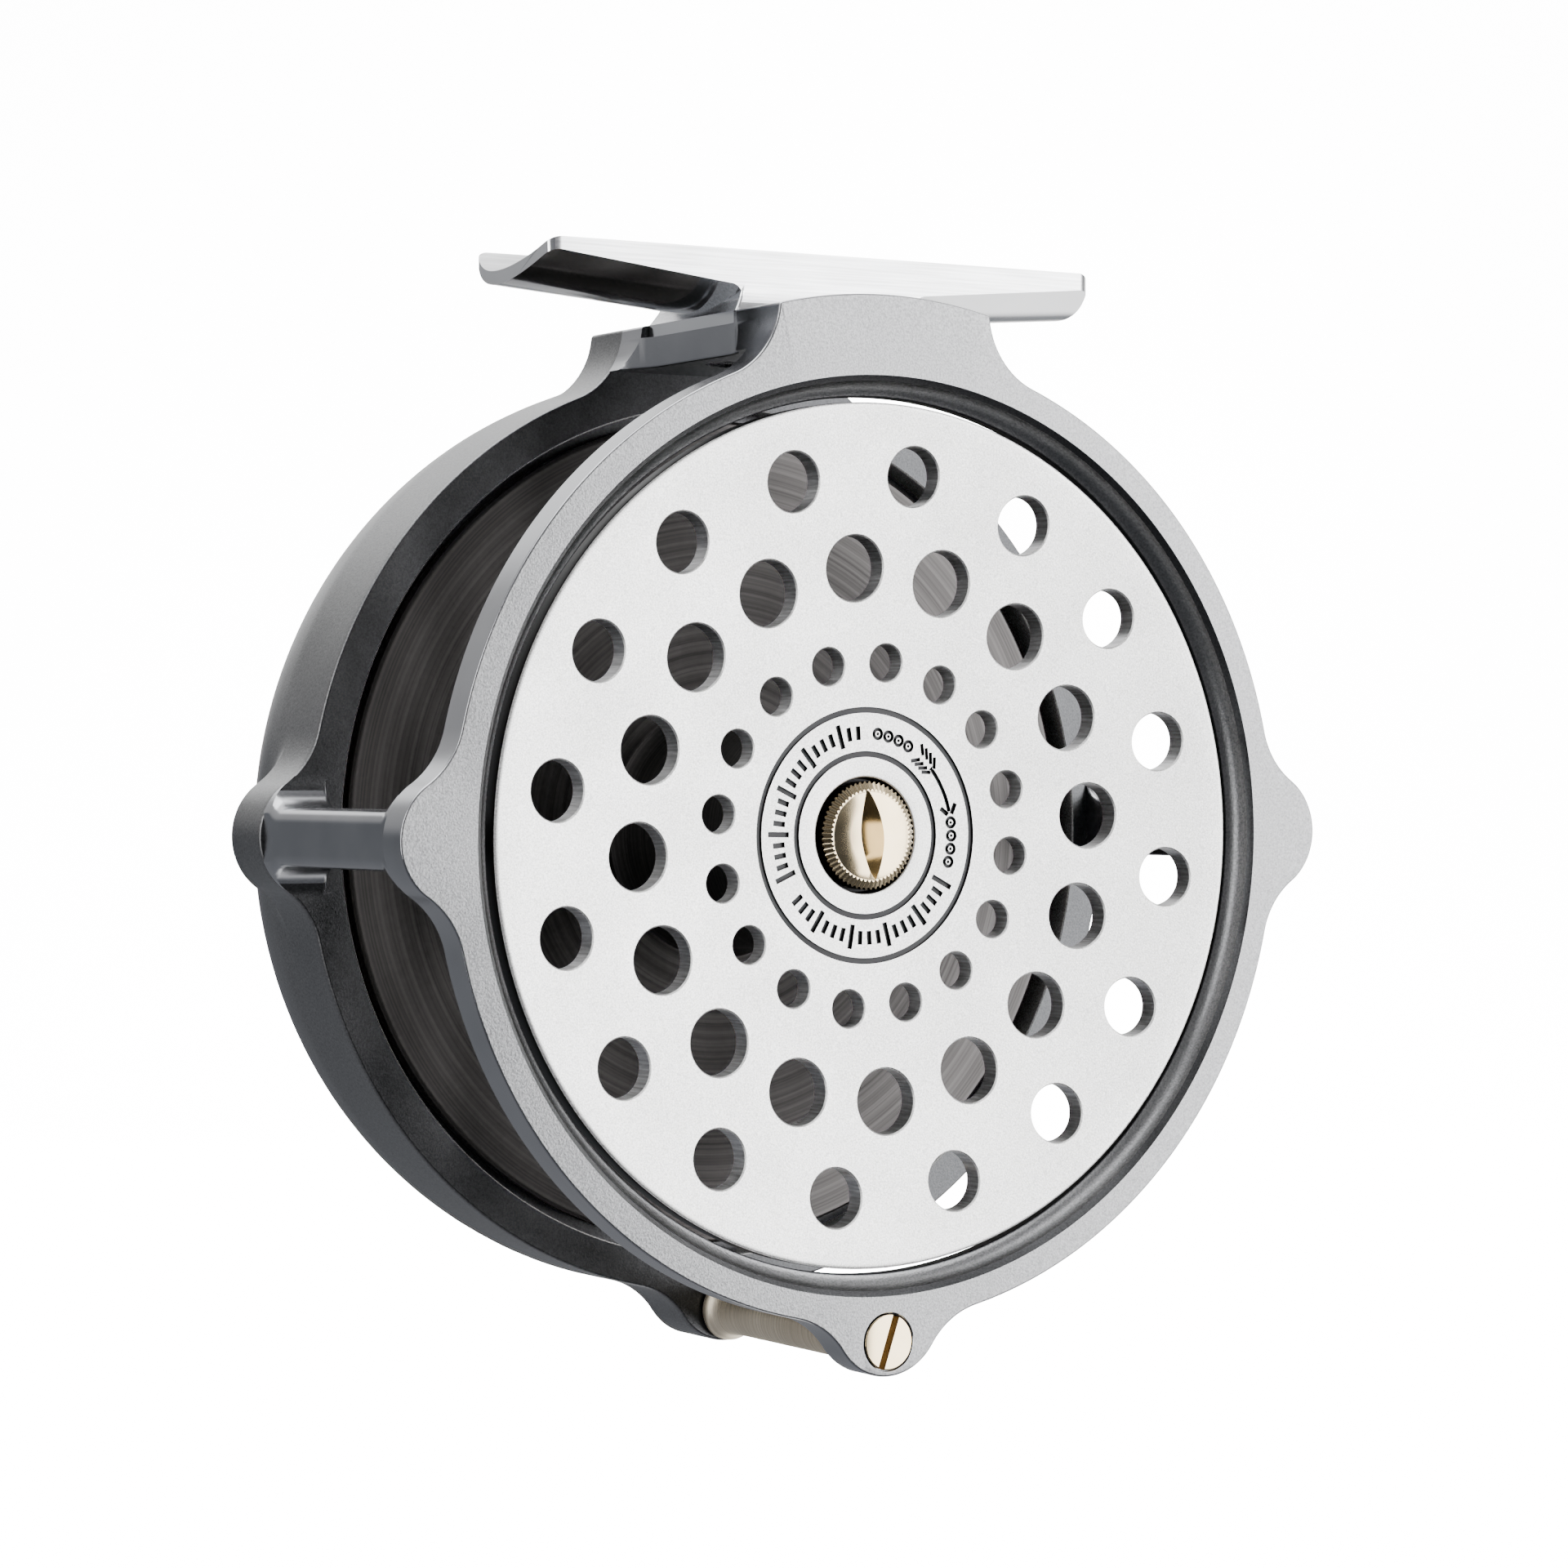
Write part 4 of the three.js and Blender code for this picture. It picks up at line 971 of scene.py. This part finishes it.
flange = turned("back_flange", [
    (3.8, FLANGE_FLOOR), (5.9, FLANGE_FLOOR), (5.9, 25.8), (8.7, 25.8),
    (8.7, FLANGE_FRONT), (12, FLANGE_FRONT), (20, FLANGE_FRONT), (30, FLANGE_FRONT),
    (FLANGE_R - 0.3, FLANGE_FRONT, 0.06), (FLANGE_R, FLANGE_FRONT + 0.3, 0.06),
    (FLANGE_R, FLANGE_BACK, 0.2), (3.8, FLANGE_BACK),
], 256)
cut(flange, block("slot", -5.8, 5.8, 26, 31, -1.3, 1.3))
finished(flange, shaded_turned_metal, "spool", ["spool_back_flange"])


# ---------------------------------------------------------------- nickel silver pieces


def knurled(name, radius, y0, y1, teeth, depth, chamfer):
    """A ring of fine straight teeth with chamfered ends, closed at both ends."""
    sections = []
    levels = [(y0, chamfer), (y0 + chamfer * 0.7, 0), (y1 - chamfer * 0.7, 0), (y1, chamfer)]
    for y, inset in levels:
        loop = []
        for k in range(teeth * 4):
            a = 2 * math.pi * k / (teeth * 4)
            r = radius - inset - (depth if k % 4 in (0, 1) else 0)
            loop.append((r * math.cos(a), y, r * math.sin(a)))
        sections.append(loop)
    return loft(name, sections)


def lock_screw():
    """The knurled screw, with a slot that a round cutter leaves deep in the middle."""
    front = lock_low.y
    radius = lock_high.x
    head = knurled("lock_screw_fine", radius, front + 0.35, LOCK_SEAT, 60, 0.2, 0.74)
    face = turned("face", [
        (0, front), (1.2, front + 0.01), (2.4, front + 0.06), (3.4, front + 0.15),
        (4.1, front + 0.3), (4.32, front + 0.55, 0.1), (4.32, front + 1.4), (0, front + 1.4),
    ], 96)
    shank = turned("shank", [(0, 3), (1.5, 3), (1.5, 16), (0, 16)], 32)
    fused(head, face, shank)
    cutter = turned("cutter", [(0, -2.9), (5.6, -0.12, 0.05), (5.6, 0.12, 0.05), (0, 2.9)], 128)
    changed(cutter, Matrix.Rotation(math.radians(90), 4, "Z"))
    shifted(cutter, 0, front + 2.3 - 5.6, 0)
    spun(cutter, 5)
    return cut(head, cutter)


finished(lock_screw(), nickel, "lock_screw", ["lock_screw"], 30)

start, end = roller_low.y, roller_high.y
roller = turned("guard_roller_fine", [
    (1.6, start, 0.1), (COLLAR_R, start, 0.15), (COLLAR_R, start + 0.7, 0.3),
    (ROLLER_R + 0.1, start + 1.5, 0.8), (ROLLER_R, start + 3.2), (ROLLER_R, end - 3.2),
    (ROLLER_R + 0.1, end - 1.5, 0.8), (COLLAR_R, end - 0.7, 0.3), (COLLAR_R, end, 0.15),
    (1.6, end, 0.1),
], 96, 6, middle=(0, GUARD.z))
finished(roller, lit_roller_metal, "line_roller", ["guard_roller"])

axle = turned("guard_axle_fine", [
    (0, RING_FRONT), (AXLE_R, RING_FRONT, 0.12), (AXLE_R, RING_FRONT + 1.7),
    (1.3, RING_FRONT + 1.7), (1.3, axle_high.y), (0, axle_high.y),
], 96)
axle_slot = spun(block("slot", -4, 4, RING_FRONT - 1, RING_FRONT + 1.1, -0.36, 0.36), 71)
cut(axle, axle_slot)
shifted(axle, 0, 0, GUARD.z)
finished(axle, nickel, "frame", ["guard_axle_screw"])
axle.data.materials.append(slot_painted_shade)
# Painted shade: the screw slot's floor and walls take a dark copy of the nickel silver.
for face in axle.data.polygons:
    middle = local(face.center)
    inside = math.hypot(middle.x, middle.z - GUARD.z) < AXLE_R - 0.1
    face.material_index = int(inside and RING_FRONT + 0.2 < middle.y < RING_FRONT + 1.3)


# ---------------------------------------------------------------- rear: handle plate and handle

rear_plate = turned("handle_plate_fine", [
    (0, HUB), (7, HUB, 0.2), (7, REAR - 3), (REAR_R, REAR - 3, 0.5), (REAR_R, REAR - 0.9, 0.3),
    (REAR_R - 0.9, REAR, 0.4), (REAR_R - 3.2, REAR, 0.12), (REAR_R - 3.35, REAR - 0.3, 0.1),
    (REAR_R - 3.9, REAR - 0.3, 0.1), (REAR_R - 4.05, REAR, 0.12), (22, REAR - 0.02),
    (11.6, REAR, 0.12), (11.45, REAR - 0.3, 0.1), (10.9, REAR - 0.3, 0.1), (10.75, REAR, 0.12),
    (5.9, REAR, 0.3), (5.9, REAR_SEAT), (0, REAR_SEAT),
], 256)
square = block("square", -2.7, 2.7, HUB - 1, REAR, -2.7, 2.7)
handle_bore = turned("bore", [(0, 43), (2.8, 43), (2.8, REAR - 0.2), (3.6, REAR + 0.6),
                              (0, REAR + 0.6)], 48, middle=(HANDLE.x, HANDLE.z))
cut(rear_plate, square, handle_bore)
finished(rear_plate, satin, "spool", ["handle_plate"])

rear_screw = turned("handle_plate_screw_fine", [
    (0, 38), (1.5, 38), (1.5, REAR_SEAT), (5.5, REAR_SEAT, 0.15), (5.5, REAR_SEAT + 1.5, 0.4),
    (4.6, REAR_SEAT + 2.15, 0.6), (0, REAR_SEAT + 2.3),
], 96, 6)
cut(rear_screw, block("slot", -7, 7, REAR_SEAT + 1.2, REAR_SEAT + 4, -0.6, 0.6))
finished(rear_screw, nickel, "spool", ["handle_plate_screw"])

handle_at = (HANDLE.x, HANDLE.z)
TIP = local_box("handle_end_cap")[1].y
stem = turned("handle_stem_fine", [
    (0, REAR - 2.8), (2.5, REAR - 2.8, 0.2), (2.5, REAR), (4.6, REAR, 0.2), (4.6, REAR + 1.2, 0.35),
    (2.2, REAR + 1.2), (2.2, TIP - 4.5), (1.2, TIP - 4.5), (1.2, TIP - 2.4), (0, TIP - 2.4),
], 64, middle=handle_at)
finished(stem, nickel, "spool", ["handle_stem"])

base = knob_low.y
grip = turned("handle_knob_fine", [
    (2.5, base), (4.9, base, 0.3), (5.3, base + 0.9, 0.6), (4.62, base + 4, 3),
    (4.6, base + 8, 3.5), (5.7, base + 14, 3), (6.4, base + 17.6, 2.2), (6.1, base + 20.3, 1.6),
    (5.1, TIP - 0.35, 0.5), (4.2, TIP - 0.2, 0.15), (4.2, TIP - 4.2), (2.5, TIP - 4.2),
], 96, 8, middle=handle_at)
finished(grip, resin_metal, "handle_grip", ["handle_knob"], 40)

cap = turned("handle_end_cap_fine", [
    (1.4, TIP - 3.9), (3.6, TIP - 3.9, 0.1), (3.6, TIP - 0.6, 0.3), (2.7, TIP - 0.05, 0.5),
    (0, TIP), (0, TIP - 2.25), (1.4, TIP - 2.25),
], 64, 6)
cut(cap, block("slot", -5, 5, TIP - 0.8, TIP + 1, -0.35, 0.35))
shifted(cap, HANDLE.x, 0, HANDLE.z)
finished(cap, nickel, "spool", ["handle_end_cap"])

regulator = knurled("regulator_knob_fine", 3.6, KNOB_FACE, KNOB_FACE + 2.9, 30, 0.22, 0.3)
crown = turned("crown", [
    (0, KNOB_FACE + 2), (3.1, KNOB_FACE + 2), (3.1, KNOB_FACE + 2.9, 0.1),
    (2.7, KNOB_FACE + 3.2, 0.3), (0, KNOB_FACE + 3.2),
], 64)
stalk = turned("stalk", [
    (0, 29.8), (1.2, 29.8), (1.2, 33.6), (1.6, 33.6), (1.6, KNOB_FACE + 1), (0, KNOB_FACE + 1),
], 32)
fused(regulator, crown, stalk)
changed(regulator, TO_REGULATOR)
finished(regulator, nickel, "regulator", ["regulator_knob"])


# ---------------------------------------------------------------- floor, light and camera

AZIMUTH = -31.526       # degrees, of the camera from the front towards the reel's left
ELEVATION = 0.298
ROLL = -0.099
CAMERA_PLACE = AXIS + Vector((-0.212912, -0.330800, 0.006898))
LENS = 96.47
FLOOR_GAP = 0.12        # metres from the floor up to the reel
FLOOR_NEAR = -2.2
FLOOR_BEND = 1.6
WALL_ROUND = 0.9
WALL_TOP = 3.0


def studio():
    """A floor that curves up into a wall behind the reel."""
    n = Nodes("pale_floor")
    where = n.coordinates()
    cloud = n.noise(where, 3, 2.0)
    n.link(n.ramp(cloud, (0.9, 0.9, 0.9), (0.93, 0.93, 0.93)), n.shader.inputs["Base Color"])
    n.link(n.span(cloud, 0.85, 0.95), n.shader.inputs["Roughness"])
    low = cage_low.z * 0.001 + AXIS.z - FLOOR_GAP
    profile = [(FLOOR_NEAR, low), (FLOOR_BEND, low)]
    profile += [(FLOOR_BEND + WALL_ROUND * math.sin(a), low + WALL_ROUND * (1 - math.cos(a)))
                for a in [math.pi / 2 * i / 24 for i in range(1, 25)]]
    profile += [(FLOOR_BEND + WALL_ROUND, WALL_TOP)]
    turn = math.radians(-31.5)
    points, faces = [], []
    for y, z in profile:
        for x in (-4.0, 4.0):
            points.append((x * math.cos(turn) - y * math.sin(turn),
                           x * math.sin(turn) + y * math.cos(turn), z))
    for i in range(len(profile) - 1):
        faces.append((2 * i, 2 * i + 1, 2 * i + 3, 2 * i + 2))
    mesh = bpy.data.meshes.new("floor")
    mesh.from_pydata(points, [], faces)
    mesh.shade_smooth()
    mesh.materials.append(n.material)
    floor = bpy.data.objects.new("floor", mesh)
    bpy.context.scene.collection.objects.link(floor)
    floor.visible_glossy = False


def lamp(name, place, target, width, height, watts):
    """A soft box that faces its target."""
    data = bpy.data.lights.new(name, "AREA")
    data.shape = "RECTANGLE"
    data.size = width
    data.size_y = height
    data.energy = watts
    obj = bpy.data.objects.new(name, data)
    bpy.context.scene.collection.objects.link(obj)
    obj.location = place
    obj.rotation_euler = (Vector(target) - Vector(place)).to_track_quat("-Z", "Y").to_euler()
    return obj


def sky():
    """Soft light, paler above the horizon than below it, and plain white where it is seen."""
    world = bpy.data.worlds.new("studio")
    bpy.context.scene.world = world
    world.use_nodes = True
    tree = world.node_tree
    background = tree.nodes["Background"]
    where = tree.nodes.new("ShaderNodeTexCoord")
    parts = tree.nodes.new("ShaderNodeSeparateXYZ")
    tree.links.new(where.outputs["Generated"], parts.inputs["Vector"])
    height = tree.nodes.new("ShaderNodeMapRange")
    height.inputs["From Min"].default_value = -1
    height.inputs["From Max"].default_value = 1
    tree.links.new(parts.outputs["Z"], height.inputs["Value"])
    ramp = tree.nodes.new("ShaderNodeValToRGB")
    stops = ramp.color_ramp.elements
    stops[0].color = (0.34, 0.35, 0.38, 1)
    stops[1].color = (0.95, 0.95, 0.95, 1)
    for spot, tone in ((0.40, (0.27, 0.28, 0.3)), (0.53, (0.21, 0.22, 0.24)),
                       (0.59, (0.62, 0.62, 0.63)), (0.7, (0.72, 0.72, 0.72))):
        stops.new(spot).color = (*tone, 1)
    tree.links.new(height.outputs["Result"], ramp.inputs["Fac"])
    tone = ramp.outputs["Color"]
    dim = (0.45, 0.45, 0.46, 1)
    white = (2.2, 2.2, 2.2, 1)
    patches = (
        ((0, -1, 0), 0.0, 0.45, "MULTIPLY", dim),
        ((0.55, 0.55, 0.63), 0.62, 0.74, "MIX", white),
        ((0.62, 0.3, -0.72), 0.84, 0.94, "MIX", white),
    )
    for direction, start, end, mode, colour in patches:
        facing = tree.nodes.new("ShaderNodeVectorMath")
        facing.operation = "DOT_PRODUCT"
        facing.inputs[1].default_value = direction
        tree.links.new(where.outputs["Generated"], facing.inputs[0])
        share = tree.nodes.new("ShaderNodeMapRange")
        share.interpolation_type = "SMOOTHSTEP"
        share.inputs["From Min"].default_value = start
        share.inputs["From Max"].default_value = end
        tree.links.new(facing.outputs["Value"], share.inputs["Value"])
        mix = tree.nodes.new("ShaderNodeMixRGB")
        mix.blend_type = mode
        tree.links.new(share.outputs["Result"], mix.inputs["Fac"])
        tree.links.new(tone, mix.inputs["Color1"])
        mix.inputs["Color2"].default_value = colour
        tone = mix.outputs["Color"]
    ray = tree.nodes.new("ShaderNodeLightPath")
    seen = tree.nodes.new("ShaderNodeMixRGB")
    tree.links.new(ray.outputs["Is Camera Ray"], seen.inputs["Fac"])
    tree.links.new(tone, seen.inputs["Color1"])
    seen.inputs["Color2"].default_value = (1, 1, 1, 1)
    tree.links.new(seen.outputs["Color"], background.inputs["Color"])
    background.inputs["Strength"].default_value = 1


studio()
sky()
spindle = Vector((0, 0, AXIS.z))
lamp("front", (0.95, -1.1, 0.2), spindle, 0.85, 1.7, 50)
lamp("above", (-0.2, 0.1, 1.3), spindle, 1.4, 1.4, 26)
lamp("left", (-1.3, -0.76, 0.2), spindle, 0.4, 1.4, 12)
over_floor = lamp("over_floor", (0.2, 0.3, 2.4), (0.2, 0.3, 0), 3, 3, 1100)
over_floor.visible_glossy = False
on_wall = lamp("on_wall", (0.3, 0.5, 2.0), (1.3, 2.13, 0.4), 3, 3, 500)
on_wall.visible_glossy = False


def camera():
    """A long lens from the front left, level with the spindle."""
    data = bpy.data.cameras.new("camera")
    data.sensor_width = 36
    data.lens = LENS
    data.clip_start = 0.01
    obj = bpy.data.objects.new("camera", data)
    bpy.context.scene.collection.objects.link(obj)
    azimuth, elevation, roll = [math.radians(angle) for angle in (AZIMUTH, ELEVATION, ROLL)]
    back = Vector((math.sin(azimuth) * math.cos(elevation),
                   -math.cos(azimuth) * math.cos(elevation), math.sin(elevation)))
    right = (-back).cross(Vector((0, 0, 1))).normalized()
    up = right.cross(-back)
    leaned = right * math.cos(roll) + up * math.sin(roll)
    raised = up * math.cos(roll) - right * math.sin(roll)
    turn = Matrix((leaned, raised, back)).transposed().to_4x4()
    obj.matrix_world = Matrix.Translation(CAMERA_PLACE) @ turn
    bpy.context.scene.camera = obj


camera()
